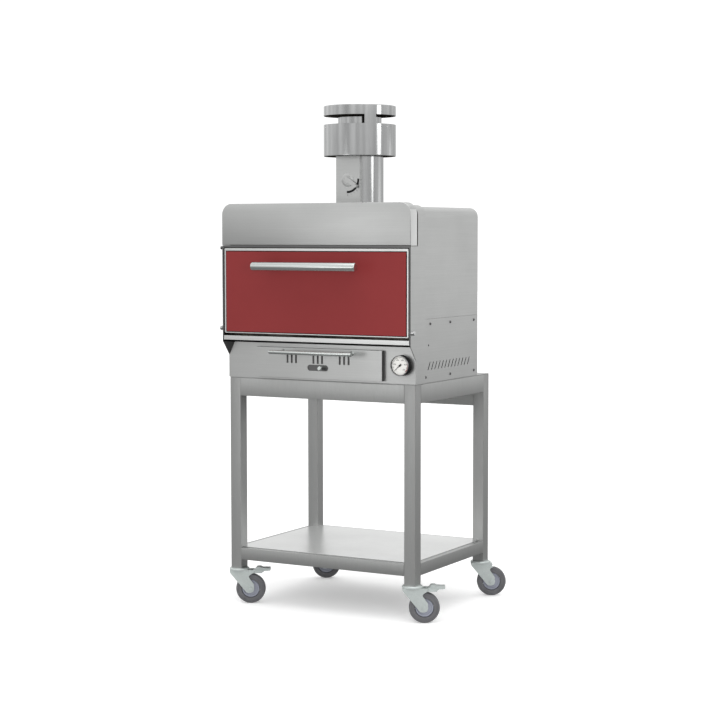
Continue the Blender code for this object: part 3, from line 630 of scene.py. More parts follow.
# ---- fasteners
@dataclass
class Fasteners:
    """Screws, rivets and hexagon heads, modelled standing on z = 0 and looking up."""

    radius: float = 0.0045
    height: float = 0.0021

    def screw(self) -> Piece:
        """A pan head with a cross recess."""
        head = disc("screw", Vector((0.0, 0.0, self.height / 2)), self.radius, self.height, sides=24)
        rounded(head, lambda middle, way: way.z > ALIGNED, self.height * 0.6, 3, Part.FACE)
        half, arm = self.radius * 0.13, self.radius * 0.62
        for size in ((arm, half), (half, arm)):
            carved(head, block("recess", Vector((-size[0], -size[1], self.height * 0.35)),
                               Vector((size[0], size[1], self.height * 2))))
        return smooth(head)

    def rivet(self, radius: float, height: float) -> Piece:
        """A domed rivet head."""
        rings = [(radius * math.cos(step * math.pi / 12), height * math.sin(step * math.pi / 12))
                 for step in range(7)]
        return smooth(turned("rivet", [(0.0, 0.0), *rings], Vector(), Axis.Z, 20))

    def hexagon(self, radius: float, height: float) -> Piece:
        """A hexagon head on its washer, with the corners turned off."""
        head = disc("hexagon", Vector((0.0, 0.0, height * 0.6)), radius, height * 0.8, sides=6)
        collar = disc("collar", Vector((0.0, 0.0, height * 0.12)), radius * 1.2, height * 0.24, sides=24)
        whole = joined("hexagon", [head, collar])
        return eased(whole, height * 0.12, 2)


FIX = Fasteners()


# ---- stand
@dataclass
class Stand:
    """Welded square-tube table with a lower shelf."""

    wall: float = 0.002
    corner: float = 0.001        # outside corner, ground back after welding

    def tube(self, node: str, axis: Axis) -> None:
        """One length of tube with rounded corners and open ends, in place of a solid."""
        piece = rounded(block(node + "_tube", *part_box(node)), axis.along, self.corner, 4)
        dress(smooth(walled(opened(piece, axis.along), self.wall)), TUBE_STEEL, ROOT, node)

    def sheets(self) -> None:
        """The table top with its edges broken, and the shelf between the legs."""
        top = rounded(block("table_top_plate", *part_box("table_top")), Axis.Z.along, self.corner, 4)
        dress(eased(top, 0.0005), TUBE_STEEL, ROOT, "table_top")
        remade("shelf_sheet", "shelf_plate", 0.0006, 2, STEEL_MILL)

    def build(self) -> None:
        """All of the stand."""
        for corner in CORNERS:
            self.tube("leg_" + corner, Axis.Z)
        for side, axis in (("front", Axis.X), ("rear", Axis.X), ("left", Axis.Y), ("right", Axis.Y)):
            self.tube("apron_" + side, axis)
            self.tube("shelf_rail_" + side, axis)
        self.sheets()


# ---- casters
@dataclass
class Caster:
    """Swivel caster with a pressed fork, a two-part wheel and, at the front, a brake pedal."""

    corner: str
    turn: float = math.radians(29.0)
    radius: float = 0.05
    half: float = 0.015          # half the tread's width
    cheek: float = 0.0206        # from the wheel's middle to the outside of the fork
    race: float = 0.0102         # height of the ball race over the head's foot

    def axle(self) -> Matrix:
        """Matrix that stands a shape, modelled about the Y axis, on the axle."""
        return stand_at(centre_of("caster_wheel_" + self.corner), (0.0, 0.0, self.turn))

    def mount(self) -> None:
        """Round head with its ball race, and the pressed fork."""
        node = "caster_head_" + self.corner
        remade(node, f"caster_{self.corner}_head", 0.0005, 1, ZINC)
        middle = centre_of(node)
        middle.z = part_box(node)[0].z + self.race
        profile = [(0.0245, -0.0001), (0.0258, -0.0006), (0.0265, 0.0006), (0.0262, 0.0022),
                   (0.0245, 0.0022)]
        race = turned(f"caster_{self.corner}_race", profile, middle, Axis.Z, 40, closed=True)
        dress(smooth(race), BLACKED_AND_SHADE)
        body = "caster_" + self.corner
        remade("caster_fork_" + self.corner, body + "_fork", 0.0006, 2, ZINC, body)

    def ring(self, name: str, side: Pairs) -> Piece:
        """Half of a profile and its mirror image, turned about the axle."""
        piece = smooth(turned(name, mirrored(side), Vector(), Axis.Y, 64, closed=True))
        piece.matrix_world = self.axle()
        return settle(piece)

    def wheel(self) -> None:
        """Tread and hub."""
        body, half, lip = "wheel_" + self.corner, self.half, self.half - 0.0008
        tread = [(0.0302, half - 0.0035), (0.0306, lip), (0.0318, half), (0.0405, half), (0.041, lip),
                 (0.042, lip), (0.0425, half), (0.0452, half - 0.0004), (0.0478, half - 0.002),
                 (0.0492, half - 0.0045), (0.0498, half - 0.0078), (self.radius, 0.0)]
        dress(self.ring(f"caster_{self.corner}_tread", tread), RUBBER, body, "caster_wheel_" + self.corner)
        hub = [(0.005, 0.0163), (0.0104, 0.0163), (0.0112, 0.0155), (0.0118, 0.0118), (0.0135, 0.0108),
               (0.0225, 0.0104), (0.0235, 0.0112), (0.024, 0.0126), (0.0276, 0.0128), (0.029, 0.0116),
               (0.0297, 0.0105)]
        dress(self.ring(f"caster_{self.corner}_hub", hub), HUB, body)

    def bolt(self) -> None:
        """Axle bolt head and nut, outside the cheeks."""
        places = [self.axle() @ Matrix.Translation((0.0, side * self.cheek, 0.0))
                  @ Matrix.Rotation(-side * QUARTER, 4, "X") for side in (-1, 1)]
        bolts = spread(FIX.hexagon(0.0076, 0.0055), f"caster_{self.corner}_bolt", places)
        dress(bolts, ZINC, "caster_" + self.corner)

    def build(self) -> None:
        """One whole caster."""
        self.mount()
        self.wheel()
        self.bolt()
        if self.corner.startswith("front"):
            node = "brake_pedal_" + self.corner
            remade(node, node + "_lever", 0.0008, 2, ZINC, node)


# ---- casing
@dataclass
class Casing:
    """Outer sheet metal of the oven."""

    datum: Datum
    sheet: float = 0.002
    header_corner: float = 0.036
    jacket_corner: float = 0.031
    flue_hole: float = 0.0812
    lip: float = 0.35            # further out than this, the header's side faces get a painted highlight
    sill_front: float = 0.03     # further forward than this, the frame's front faces get painted shade
    gap_depth: float = 0.05      # depth and height of the gap round the door
    gap_top: float = 0.45
    side_screws: Pairs = ((0.1034, 0.1895), (0.2488, 0.1895), (0.4273, 0.1895),
                                                    (0.0713, 0.019), (0.249, 0.019), (0.4294, 0.019))
    side_plug: tuple[float, float] = (0.0918, 0.1208)
    rear_screws: Pairs = ((0.325, 0.022), (0.108, 0.022), (0.325, 0.3),
                                                    (0.30225, 0.535), (0.10044, 0.535))
    # Outline of a seam strip: across, deep.
    strip: Pairs = ((0.3477, 0.0484), (0.34, 0.0484), (0.34, 0.048),
                                              (0.3481, 0.048), (0.3481, 0.074), (0.3477, 0.074))

    def hood(self, name: str, node: str, radius: float) -> Piece:
        """A box as large as a solid, with its two upper long edges rounded."""
        waist = centre_of(node).z
        return rounded(block(name, *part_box(node)),
                       lambda middle, way: Axis.Y.along(middle, way) and middle.z > waist, radius, 12)

    def header(self) -> None:
        """The header over the door, open at the back."""
        piece = self.hood("header_shell", "header_cap", self.header_corner)
        opened(piece, lambda middle, way: way.y > ALIGNED)
        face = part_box("header_cap")[0].y
        rounded(piece, lambda middle, way: abs(middle.y - face) < 1e-5 and abs(way.y) < 0.1, 0.002, 3)
        dress(smooth(walled(piece, self.sheet)), STEEL, ROOT, "header_cap")
        # The header's side faces beyond the lip distance are lightened: a painted highlight.
        tint(piece, STEEL_PAINTED_HIGHLIGHT,
             lambda middle, way: abs(way.x) > ALIGNED and abs(middle.x - self.datum.oven.x) > self.lip)

    def jacket(self) -> None:
        """The jacket over the insulation, with the flue's hole in its roof."""
        piece = self.hood("jacket_shell", "jacket", self.jacket_corner)
        walled(opened(piece, lambda middle, way: abs(way.y) > ALIGNED or way.z < -ALIGNED), self.sheet)
        middle = centre_of("flue_pipe")
        middle.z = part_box("jacket")[1].z
        carved(piece, disc("flue_hole", middle, self.flue_hole, 0.05, sides=64))
        dress(eased(piece, 0.0004, 1), STEEL_SIDE, ROOT, "jacket")

    def strips(self) -> None:
        """Angle strips that close the seam between the frame and the jacket from inside, near black: painted
        shade seen through the seam.
        """
        strips = []
        for side in (-1, 1):
            outline = [self.datum.at(side * across, deep, 0.012) for across, deep in self.strip]
            strips.append(plate("strip", outline, Vector((0.0, 0.0, 0.52))))
        dress(joined("seam_strips", strips), BLACKED_AND_SHADE)

    def panels(self) -> None:
        """Service panels, the rear panel, the tray, the fascia, the frame and the sill."""
        for node in ("service_panel_left", "service_panel_right"):
            remade(node, node + "_sheet", 0.0003, 1, STEEL_SIDE)
        remade("rear_panel", "rear_sheet", 0.0004, 1, STEEL)
        fascia = remade("lower_fascia", "fascia_sheet", 0.0005, 1, STEEL)
        face = self.datum.oven.y
        # Fascia faces in front of the oven's face, the gussets under the sill, get painted shade.
        tint(fascia, STEEL_SHADE, lambda middle, way: middle.y < face - 0.0006)
        frame = remade("front_frame", "front_frame_sheet", 0.0006, 2, STEEL_SIDE)
        # The frame's front faces ahead of the sill front get painted shade: the dark band over the door and
        # the flanges beside it.
        tint(frame, STEEL_SHADE, lambda middle, way: way.y < -0.3 and middle.y < face - self.sill_front)
        # Its faces that look into the gap round the door get near-black painted shade.
        tint(frame, BLACKED_AND_SHADE, self.inward)
        # The sill lip takes the lightened steel: a painted highlight along its front.
        remade("sill", "sill_lip", 0.0006, 2, STEEL_PAINTED_HIGHLIGHT)
        coat("base_tray", STEEL)

    def inward(self, middle: Vector, way: Vector) -> bool:
        """Whether a face of the frame looks into the gap round the door."""
        across = middle.x - self.datum.oven.x
        deep, up = middle.y - self.datum.oven.y, middle.z - self.datum.oven.z
        facing = way.x * across < -0.3 * abs(across) or way.z < -0.7
        return deep < self.gap_depth and up < self.gap_top and facing

    def screws(self) -> None:
        """Screws of the side panels and of the rear panel, and a plug in each side."""
        at = self.datum.at
        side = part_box("service_panel_right")[1].x - self.datum.oven.x
        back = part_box("rear_panel")[1].y - self.datum.oven.y
        places, plugs = [], []
        for flip, turn in ((1, RIGHT), (-1, LEFT)):
            places += [stand_at(at(flip * side, deep, up), turn) for deep, up in self.side_screws]
            places += [stand_at(at(flip * across, back, up), REAR) for across, up in self.rear_screws]
            plugs.append(stand_at(at(flip * side, *self.side_plug), turn))
        # The screws carry the darkened steel of the painted shade, so they read as dark dots.
        dress(spread(FIX.screw(), "casing_screws", places), STEEL_SHADE)
        dress(spread(FIX.rivet(0.0034, 0.0006), "casing_plugs", plugs), BLACKED_AND_SHADE)

    def build(self) -> None:
        """All of the casing."""
        self.header()
        self.jacket()
        self.strips()
        self.panels()
        self.screws()


# ---- firebox
@dataclass
class Firebox:
    """What the open door shows: the liner, the grate and the rack."""

    rod: float = 0.003
    thin_rod: float = 0.00198
    pitch: float = 0.017

    def linings(self) -> None:
        """The liner, the wool behind it and the cast grate."""
        remade("firebox_liner", "liner_sheet", 0.0004, 1, SOOTED)
        coat("insulation", WOOL)
        remade("charcoal_grate", "grate_casting", 0.0012, 2, IRON)

    def rack(self) -> None:
        """The cooking rack: round rods welded on a frame of thicker rod."""
        low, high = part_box("cooking_rack")
        middle, rod, up = (low + high) / 2, self.rod, low.z + self.rod
        wide, deep = high.x - low.x, high.y - low.y
        rods = [disc("rod", Vector((middle.x, y, up)), rod, wide, Axis.X, 16)
                for y in (low.y + rod, high.y - rod, middle.y)]
        rods += [disc("rod", Vector((x, middle.y, up)), rod, deep, Axis.Y, 16)
                 for x in (low.x + rod, high.x - rod)]
        count = int(wide / self.pitch) - 1
        step = (wide - 2 * rod) / (count + 1)
        rods += [disc("rod", Vector((low.x + rod + step * index, middle.y, up + 0.0006)), self.thin_rod,
                      deep - 0.001, Axis.Y, 12) for index in range(1, count + 1)]
        dress(eased(joined("rack_rods", rods), 0.0006, 2, 60.0), STEEL_MILL, "cooking_rack", "cooking_rack")

    def build(self) -> None:
        """All of the firebox."""
        self.linings()
        self.rack()


# ---- handles
@dataclass(frozen=True)
class BarHandle:
    """Round bar on two posts with collars, given from the datum."""

    name: str
    radius: float
    half: float
    post: float                  # from the middle to each post
    y: float
    z: float
    sides: tuple[int, int]       # facets of the bar and of a post

    def build(self, datum: Datum, end: Pairs, foot: Pairs, tip: Pairs, body: str, *replaced: str) -> None:
        """Turn the bar and its posts.

        Args:
            datum: where the oven stands.
            end: how far the bar's end steps in from its radius and from its length, from the axis outwards.
            foot: radii and depths of a post's collar, the axis first.
            tip: radii of a post near the bar, and their distances from the bar's axis.
            body: the body that it rides on.
            replaced: the solid that it stands for.
        """
        profile = mirrored([(self.radius - inward, self.half - back) for inward, back in end])
        shapes = [turned("bar", profile, datum.at(0.0, self.y, self.z), Axis.X, self.sides[0])]
        rings = [*foot, *((radius, self.y + away) for radius, away in tip)]
        for side in (-1, 1):
            foot_at = datum.at(side * self.post, 0.0, self.z)
            shapes.append(turned("post", rings, foot_at, Axis.Y, self.sides[1]))
        dress(joined(self.name, [*map(smooth, shapes)]), STEEL_BAR, body, *replaced)


# ---- ash drawer
@dataclass
class Drawer:
    """Ash drawer with its slotted front, bar handle and air slide."""

    datum: Datum
    bar: BarHandle = BarHandle("drawer_handle", 0.0065, 0.1545, 0.128, -0.067, 0.093, (32, 24))
    front_depth: float = 0.0159  # how far the front's folded face stands out
    slide_depth: float = 0.0135

    def front(self) -> None:
        """The folded front; the handle is cut off its solid, to be made anew."""
        piece = eased_copy("drawer_front", "drawer_front_sheet", 0.0006, 2)
        edge = self.datum.oven.y - self.front_depth
        with editing(piece):
            bpy.ops.mesh.select_all(action="SELECT")
            bpy.ops.mesh.bisect(plane_co=(0.0, edge, 0.0), plane_no=(0.0, -1.0, 0.0), clear_outer=True,
                                use_fill=True)
        dress(smooth(piece), STEEL, "ash_drawer", "drawer_front")
        # Faces behind the front's folded face get painted shade: the returns the darkened steel, the top,
        # bottom and inside near black.
        fold = edge + 0.0009
        tint(piece, STEEL_SHADE, lambda middle, way: middle.y > fold)
        tint(piece, BLACKED_AND_SHADE, lambda middle, way: middle.y > fold and (abs(way.z) > 0.7 or way.y > 0.7))

    def handle(self) -> None:
        """Bar with domed ends on two posts with collars."""
        r = self.bar.radius
        end = [(r, 0.0), (r * 0.3, 0.0), (r * 0.07, 0.0006), (0.0, 0.002)]
        foot = [(0.0, -0.0155), (0.0075, -0.0155), (0.0075, -0.0168), (0.0052, -0.0182), (0.0045, -0.0205)]
        tip = [(0.0045, 0.008), (0.0054, 0.006), (0.0054, 0.003), (0.0, 0.003)]
        self.bar.build(self.datum, end, foot, tip, "ash_drawer")

    def build(self) -> None:
        """All of the drawer."""
        remade("ash_drawer", "ash_tray_sheet", 0.0005, 1, SOOTED, "ash_drawer")
        self.front()
        self.handle()
        # The slide plate seen through the slot gets the darkened steel as painted shade; its knob stays
        # bright bar steel.
        slide = remade("air_slide", "air_slide_plate", 0.0003, 1, STEEL_SHADE, "air_slide")
        knob = self.datum.oven.y - self.slide_depth
        tint(slide, STEEL_BAR, lambda middle, way: middle.y < knob)


# ---- thermometer
@dataclass
class Thermometer:
    """Bimetal thermometer with a printed dial."""

    datum: Datum
    x: float = 0.3043
    z: float = 0.0605
    first: float = -132.0        # the needle's stop, degrees clockwise from straight up
    sweep: float = 264.0
    majors: int = 10
    minors: int = 5
    dial: float = 0.0298         # radius of the dial plate
    print_face: float = -0.018   # how deep the dial's face lies
    tick_end: float = 0.0278
    number_ring: float = 0.019
    red_ring: tuple[float, float] = (0.0288, 0.0262)

    def spot(self, angle: float, radius: float, deep: float) -> Vector:
        """Point on the dial at an angle clockwise from straight up."""
        return self.datum.at(self.x + radius * math.sin(math.radians(angle)), deep,
                             self.z + radius * math.cos(math.radians(angle)))

    def case(self) -> None:
        """Case with a rolled bezel, and its stem."""
        profile = [(0.0, -0.006), (0.0302, -0.006), (0.0302, -0.0234), (0.0306, -0.0243), (0.0314, -0.0247),
                   (0.0324, -0.0244), (0.033, -0.0234), (0.033, -0.004), (0.0326, -0.001),
                   (0.0318, -0.0003), (0.0052, -0.0003), (0.0052, 0.022), (0.0, 0.022)]
        piece = turned("thermometer_bezel", profile, self.datum.at(self.x, 0.0, self.z), Axis.Y, 64)
        rim = self.datum.oven.y - 0.0215
        dress(smooth(piece), BLACKED_AND_SHADE, ROOT, "thermometer_case")
        tint(piece, STEEL_ROUND, lambda middle, way: middle.y < rim and way.y < -0.05)

    def layer(self, name: str, deep: float, radius: float, finish: Finish, node: str) -> None:
        """A round plate of the dial."""
        piece = disc(name, self.datum.at(self.x, deep, self.z), radius, 0.001, Axis.Y, 64)
        dress(eased(piece, 0.0002, 1), finish, ROOT, node)

    def ticks(self) -> None:
        """The dial's ticks, every fifth one long."""
        marks, count = [], self.majors * self.minors
        for index in range(count + 1):
            angle = self.first + self.sweep * index / count
            length, half = (0.0028, 0.00028) if index % self.minors else (0.005, 0.0005)
            middle = self.spot(angle, self.tick_end - length / 2, self.print_face - 0.00012)
            marks.append((middle, math.radians(angle), length, half))
        dress(strokes("dial_ticks", marks), INK)

    def numbers(self) -> None:
        """Plain numbers at every other long tick."""
        numbers = []
        for index in range(0, self.majors + 1, 2):
            angle = self.first + self.sweep * index / self.majors
            deselect()
            middle = self.spot(angle, self.number_ring, self.print_face - 0.00005)
            bpy.ops.object.text_add(location=middle, rotation=FRONT)
            text = bpy.context.object.data
            text.body, text.size, text.extrude = str(index * 50), 0.0062, PRINT
            text.align_x = text.align_y = "CENTER"
            bpy.ops.object.convert(target="MESH")
            numbers.append(settle(bpy.context.object))
        dress(joined("dial_numbers", numbers), INK)

    def red_range(self, start: float = 75.0, end: float = 135.0, steps: int = 16) -> None:
        """The red band between two angles."""
        angles = [start + (end - start) * step / steps for step in range(steps + 1)]
        (outer, inner), deep = self.red_ring, self.print_face - 0.00003
        outline = [self.spot(angle, outer, deep) for angle in angles]
        outline += [self.spot(angle, inner, deep) for angle in reversed(angles)]
        dress(plate("dial_red_range", outline, Vector((0.0, -0.00006, 0.0))), RED_INK)

    def build(self) -> None:
        """All of the thermometer."""
        self.case()
        self.layer("dial_plate", -0.0175, self.dial, DIAL, "thermometer_dial")
        self.ticks()
        self.numbers()
        self.red_range()
        remade("thermometer_needle", "needle_blade", 0.0001, 1, INK, "needle")
        self.layer("dial_window", -0.023, 0.03, CLEAR, "thermometer_glass")


# ---- door
@dataclass
class Door:
    """Drop-down door: a steel pan with a coated panel, a liner, a rope seal and a bar handle."""

    datum: Datum
    pan: float = 0.002           # thickness of its sheet
    groove: float = 0.0018       # depth of the panel's recess
    play: float = 0.0025         # gap round the panel
    play_below: float = 0.0022
    bar: BarHandle = BarHandle("door_handle_bar", 0.014, 0.193, 0.145, -0.107, 0.373, (48, 36))
    rope: float = 0.0024
    rope_inset: float = 0.022
    rope_bend: float = 0.012

    def shell(self) -> None:
        """The pan, with a shallow recess that the coated panel sits in."""
        low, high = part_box("door_shell")
        panel_low, panel_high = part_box("door_panel")
        piece = rounded(block("door_pan", low, high), Axis.Y.along, 0.004, 5)
        walled(opened(piece, lambda middle, way: way.y > ALIGNED), self.pan)
        floor = low.y + self.groove
        tool = block("recess", Vector((panel_low.x - self.play, low.y - 0.01, panel_low.z - self.play_below)),
                     Vector((panel_high.x + self.play, floor, panel_high.z + self.play)))
        # The pan takes the lightened steel: a painted highlight on the border round the panel.
        dress(eased(carved(piece, tool), 0.0006, 2), STEEL_PAINTED_HIGHLIGHT, "door", "door_shell")
        # The recess floor round the panel gets near-black painted shade.
        tint(piece, BLACKED_AND_SHADE, lambda middle, way: low.y + 0.0008 < middle.y < floor + 0.0002
             and panel_low.x - 0.004 < middle.x < panel_high.x + 0.004)

    def panel(self) -> None:
        """The coated panel, its edges folded back."""
        low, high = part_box("door_panel")
        piece = block("door_face", low, high + Vector((0.0, 0.0012, 0.0)))
        rounded(piece, Axis.Y.along, 0.003, 4)
        rounded(piece, lambda middle, way: way.y < -ALIGNED, 0.0012, 3, Part.FACE)
        dress(apply(smooth(piece), "WEIGHTED_NORMAL", keep_sharp=True), RED, "door", "door_panel")

    def handle(self) -> None:
        """Tube with plugged ends, on two posts with collars."""
        face = self.datum.front_of("door_panel")
        end = [(self.bar.radius, 0.0), (0.0035, 0.0), (0.0014, 0.0005), (0.0004, 0.0015), (0.0, 0.0032)]
        foot = [(0.0, face + 0.0005), (0.0105, face + 0.0005), (0.0105, face - 0.0014),
                (0.0096, face - 0.0024), (0.0076, face - 0.0028), (0.007, face - 0.0038)]
        tip = [(0.007, 0.015), (0.008, 0.0135), (0.008, 0.009), (0.0, 0.009)]
        self.bar.build(self.datum, end, foot, tip, "door", "door_handle")

    def seal(self) -> None:
        """The rope seal round the liner, with its corners bent."""
        low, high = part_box("door_liner")
        back, inset = high.y + 0.0022, self.rope_inset
        left, right, foot, head = low.x + inset, high.x - inset, low.z + inset, high.z - inset
        corners = [Vector((x, back, z))
                   for x, z in ((left, foot), (right, foot), (right, head), (left, head))]
        path = []
        for index, corner in enumerate(corners):
            before, after = corners[index - 1], corners[(index + 1) % 4]
            for step in range(5):
                blend = step / 4
                start = corner + (before - corner).normalized() * self.rope_bend
                end = corner + (after - corner).normalized() * self.rope_bend
                path.append(start.lerp(corner, blend).lerp(corner.lerp(end, blend), blend))
        choose(traced("door_rope_seal", path, closed=True))
        bpy.ops.object.convert(target="CURVE")
        curve = bpy.context.object.data
        curve.bevel_depth, curve.bevel_resolution = self.rope, 3
        bpy.ops.object.convert(target="MESH")
        dress(smooth(bpy.context.object, 60.0), BRAID, "door")

    def build(self) -> None:
        """All of the door."""
        self.shell()
        self.panel()
        self.handle()
        remade("door_liner", "door_liner_sheet", 0.0004, 1, SOOTED, "door")
        self.seal()
        for node in ("hinge_pin_left", "hinge_pin_right"):
            remade(node, node + "_turned", 0.0004, 2, STEEL_ROUND)


# ---- flue
@dataclass
class Flue:
    """Flue pipe with its damper and the round cap."""

    datum: Datum
    y: float = 0.268
    roof: float = 0.565
    wall: float = 0.0015
    steps: int = 96
    window_low: float = 0.8435
    window_high: float = 0.873
    damper_z: float = 0.6575
    lever: float = 0.04
    rivet_turns: tuple[float, ...] = (-12.0, 108.0, 228.0)

    def pipe(self) -> None:
        """The pipe, with a rolled bead near its foot, and the roof's collar."""
        low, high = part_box("flue_pipe")
        r, roof = (high.x - low.x) / 2, self.roof
        bottom, top = low.z - self.datum.oven.z, high.z - self.datum.oven.z
        foot = self.datum.at(0.0, self.y, 0.0)
        profile = [(r, bottom), (r, roof + 0.0125), (r + 0.0012, roof + 0.014),
                   (r + 0.0012, roof + 0.0175), (r, roof + 0.019), (r, top), (r - self.wall, top),
                   (r - self.wall, bottom)]
        piece = turned("flue_tube", profile, foot, Axis.Z, self.steps, closed=True)
        dress(smooth(piece), STEEL_ROUND, ROOT, "flue_pipe")
        ring = [(r + 0.0014, roof + 0.0004), (r + 0.015, roof + 0.0004), (r + 0.015, roof + 0.0014),
                (r + 0.004, roof + 0.0018), (r + 0.0022, roof + 0.003), (r + 0.0014, roof + 0.0065)]
        collar = turned("flue_collar", ring, foot, Axis.Z, self.steps, closed=True)
        cut = block("collar_gap", self.datum.at(-0.0462, self.y - 0.12, roof - 0.01),
                    self.datum.at(0.0462, self.y - 0.05, roof + 0.02))
        dress(smooth(carved(collar, cut)), STEEL_ROUND)

    def scale(self, front: float) -> None:
        """Tick marks round the quadrant, every third one long."""
        marks = []
        for index in range(7):
            angle = math.radians(-90.0 + 15.0 * index)
            length, half = (0.0042, 0.0005) if index % 3 else (0.007, 0.0007)
            reach = self.lever + 0.0062 + length / 2
            middle = self.datum.at(reach * math.cos(angle), front - 0.00012,
                                   self.damper_z + reach * math.sin(angle))
            marks.append((middle, QUARTER - angle, length, half))
        # The ticks carry the darkened steel of the painted shade.
        dress(strokes("quadrant_marks", marks), STEEL_SHADE)

    def damper(self) -> None:
        """Quadrant plate with its scale, boss and back shield, the disc and the lever."""
        remade("damper_housing", "quadrant_plate", 0.0006, 2, STEEL)
        front = self.datum.front_of("damper_housing")
        self.scale(front)
        profile = [(0.0046, front), (0.0225, front), (0.0225, front - 0.0012), (0.0215, front - 0.0018),
                   (0.013, front - 0.0018), (0.012, front - 0.003), (0.0046, front - 0.003)]
        pivot = self.datum.at(0.0, 0.0, self.damper_z)
        boss = turned("damper_boss", profile, pivot, Axis.Y, 48, closed=True)
        dress(smooth(boss), STEEL)
        # The shield is a near-black plate behind the quadrant's slot: painted shade seen through the slot.
        shield = block("quadrant_shield", self.datum.at(-0.012, front + 0.0017, self.damper_z - 0.053),
                       self.datum.at(0.0425, front + 0.0023, self.damper_z + 0.013))
        rounded(shield, Axis.Y.along, 0.003, 3)
        pivot.y += front
        carved(shield, disc("shaft_way", pivot, 0.005, 0.02, Axis.Y, 32))
        dress(shield, BLACKED_AND_SHADE)
        remade("damper_disc", "damper_blade", 0.0003, 1, SOOTED, "damper")
        remade("damper_lever", "damper_arm", 0.0005, 2, STEEL, "damper")

    def windows(self, radius: float, middle: Vector) -> Piece:
        """The tool for the drum's windows: a ring with a straight bar of two posts left out."""
        ring = disc("windows", middle, radius, self.window_high - self.window_low, sides=120)
        post = block("posts", Vector((-0.2, -0.02, -0.05)), Vector((0.2, 0.02, 0.05)))
        post.matrix_world = stand_at(middle, (0.0, 0.0, math.radians(-44.0)))
        return carved(ring, settle(post))

    def cap(self) -> None:
        """The drum with its ring of windows, its lid bead, its rivets and the inner spigot."""
        low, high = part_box("cap_drum")
        r = (high.x - low.x) / 2
        bottom, top = low.z - self.datum.oven.z, high.z - self.datum.oven.z
        centre = self.datum.at(0.0, self.y, 0.0)
        inner, sill, head = r - self.wall, self.window_low, self.window_high
        profile = [(0.0, top - 0.0006), (r - 0.02, top - 0.0006), (r - 0.006, top), (r - 0.0022, top),
                   (r - 0.0006, top - 0.0008), (r, top - 0.0024), (r, head), (r, sill),
                   (r, bottom + 0.003), (r - 0.0002, bottom + 0.001), (r - 0.001, bottom),
                   (r - 0.0018, bottom + 0.001),
                   (inner, bottom + 0.003), (inner, sill), (inner, head), (inner, top - 0.004),
                   (r - 0.006, top - 0.0016), (0.0, top - 0.0022)]
        drum = turned("cap_shell", profile, centre, Axis.Z, 120)
        carved(drum, self.windows(r + 0.01, centre + Vector((0.0, 0.0, (sill + head) / 2))))
        dress(eased(drum, 0.0003, 1, 50.0), STEEL_ROUND, ROOT, "cap_drum")
        # The drum's inward faces and the lid's underside take the dark sooted finish, so the inside shows
        # dark through the windows.
        tint(drum, SOOTED, lambda middle, way: (middle - centre).to_2d().dot(way.to_2d()) < -0.01
             or (way.z < -0.7 and middle.z > centre.z + head))
        places = []
        for way in map(math.radians, self.rivet_turns):
            spot = centre + Vector((r * math.cos(way), r * math.sin(way), sill - 0.012))
            places.append(stand_at(spot, (0.0, QUARTER, way)))
        dress(spread(FIX.rivet(0.0028, 0.0012), "cap_rivets", places), STEEL_MILL)
        remade("cap_spigot", "cap_inner_pipe", 0.0003, 1, STEEL_ROUND)

    def build(self) -> None:
        """All of the flue."""
        self.pipe()
        self.damper()
        self.cap()


# ---- studio
@dataclass(frozen=True)
class Lamp:
    """One soft box: its place, the point it faces, its size, its strength and whether polished surfaces show
    it.
    """

    name: str
    place: Triple
    target: Triple
    size: float
    power: float
    mirrored: bool = True        # whether polished surfaces show it

    def hang(self) -> None:
        """Put the lamp in the scene."""
        light = bpy.data.lights.new(self.name, "AREA")
        light.shape, light.size, light.energy = "DISK", self.size, self.power
        lamp = bpy.data.objects.new(self.name, light)
        bpy.context.scene.collection.objects.link(lamp)
        lamp.location = self.place
        lamp.rotation_euler = (Vector(self.target) - Vector(self.place)).to_track_quat("-Z", "Y").to_euler()
        lamp.visible_camera, lamp.visible_glossy = False, self.mirrored


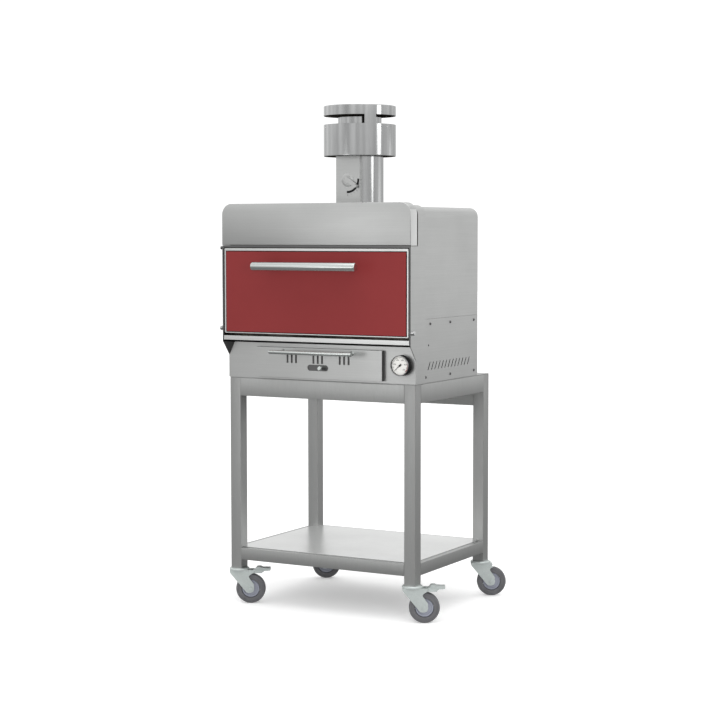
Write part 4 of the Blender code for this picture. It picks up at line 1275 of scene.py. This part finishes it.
@dataclass
class Studio:
    """Pale floor, soft light and the camera."""

    datum: Datum
    lens: float = 90.24
    air: float = 1.12            # strength of the white surroundings
    above: float = 1.05          # what a mirror sees of them overhead
    below: float = 0.26          # and near the floor
    banding: float = 0.3         # how much they change round the horizon
    floor_size: float = 60.0
    floor_glow: float = 0.22     # light that the floor gives off itself
    eye: Triple = (2.9713, -5.0761, 0.4781)
    turn: Triple = (math.radians(90.0 - 3.996), math.radians(0.045), math.radians(29.07))
    lamps: tuple[Lamp, ...] = (
        Lamp("overhead", (0.6, -1.2, 5.0), (0.0, 0.0, 0.8), 4.5, 40.0),
        Lamp("right_card", (4.2, 0.2, 1.9), (0.0, 0.0, 1.3), 1.0, 5.5),
        Lamp("front_card", (-0.85, -3.1, 0.9), (0.1, -0.2, 0.9), 1.4, 6.0),
        Lamp("rear_card", (1.95, 2.5, 1.05), (0.3, 0.0, 1.0), 1.4, 2.6),
        Lamp("fill", (1.7, -2.1, 1.3), (0.0, -0.2, 1.0), 1.0, 16.0, False),
    )

    def floor(self) -> None:
        """A wide plain floor."""
        deselect()
        bpy.ops.mesh.primitive_plane_add(size=self.floor_size, location=(0.0, 0.0, 0.0))
        floor = bpy.context.object
        floor.name = "studio_floor"
        finish = Finish("pale_floor", "", "#F7F7F7", "#F9F9F9", 0.95, spread=0.02, cloud=0.6, relief=0.0)
        floor.data.materials.append(finish.material())
        shader = finish.material().node_tree.nodes["Principled BSDF"]
        shader.inputs["Emission Color"].default_value = linear("#FFFFFF")
        shader.inputs["Emission Strength"].default_value = self.floor_glow
        floor.visible_glossy = False

    def sky(self, tree: Tree) -> None:
        """White paper all round; a polished surface sees it fade to grey below and at the sides."""
        way = add(tree, "TexCoord", out="Generated")
        height = add(tree, "MapRange", {"Value": add(tree, "SeparateXYZ", {0: way}, "Z"), "From Min": -0.22,
                                        "From Max": 0.22, "To Min": self.below, "To Max": self.above})
        stretched = add(tree, "Mapping", {"Vector": way, "Scale": (2.2, 2.2, 0.15)})
        strips = add(tree, "TexNoise", {"Vector": stretched, "Scale": 1.0, "Detail": 1.0})
        contrast = add(tree, "MapRange", {"Value": strips, "From Min": 0.35, "From Max": 0.65,
                                          "To Min": 1.0 - self.banding, "To Max": 1.0 + self.banding})
        mirrored_air = add(tree, "Math", {0: height, 1: contrast}, operation="MULTIPLY")
        ray = add(tree, "LightPath", out="Is Glossy Ray")
        strength = add(tree, "Mix", {"Factor": ray, 2: self.air, 3: mirrored_air})
        air = tree.nodes["Background"]
        air.inputs["Color"].default_value = (1.0, 1.0, 1.0, 1.0)
        tree.links.new(strength, air.inputs["Strength"])

    def light(self) -> None:
        """White surroundings and the soft boxes."""
        world = bpy.data.worlds.new("studio_air")
        world.use_nodes = True
        self.sky(world.node_tree)
        bpy.context.scene.world = world
        for lamp in self.lamps:
            lamp.hang()
        bpy.context.scene.view_settings.view_transform = "Standard"

    def camera(self) -> None:
        """The camera at the eye's place."""
        camera = bpy.data.cameras.new("eye")
        camera.lens, camera.sensor_width = self.lens, 36.0
        holder = bpy.data.objects.new("eye", camera)
        holder.location, holder.rotation_euler = self.datum.at(*self.eye), self.turn
        bpy.context.scene.collection.objects.link(holder)
        bpy.context.scene.camera = holder

    def build(self) -> None:
        """All of the studio."""
        self.floor()
        self.light()
        self.camera()


def main() -> None:
    """Build every sub-assembly around the frame, then the studio."""
    logging.basicConfig(level=logging.INFO, format="%(name)s %(message)s", stream=sys.stdout)
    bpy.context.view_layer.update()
    datum = Datum.read()
    Stand().build()
    for corner in CORNERS:
        Caster(corner).build()
    Casing(datum).build()
    Firebox().build()
    Drawer(datum).build()
    Thermometer(datum).build()
    Door(datum).build()
    Flue(datum).build()
    Studio(datum).build()


if __name__ == "__main__":
    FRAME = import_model()
    main()
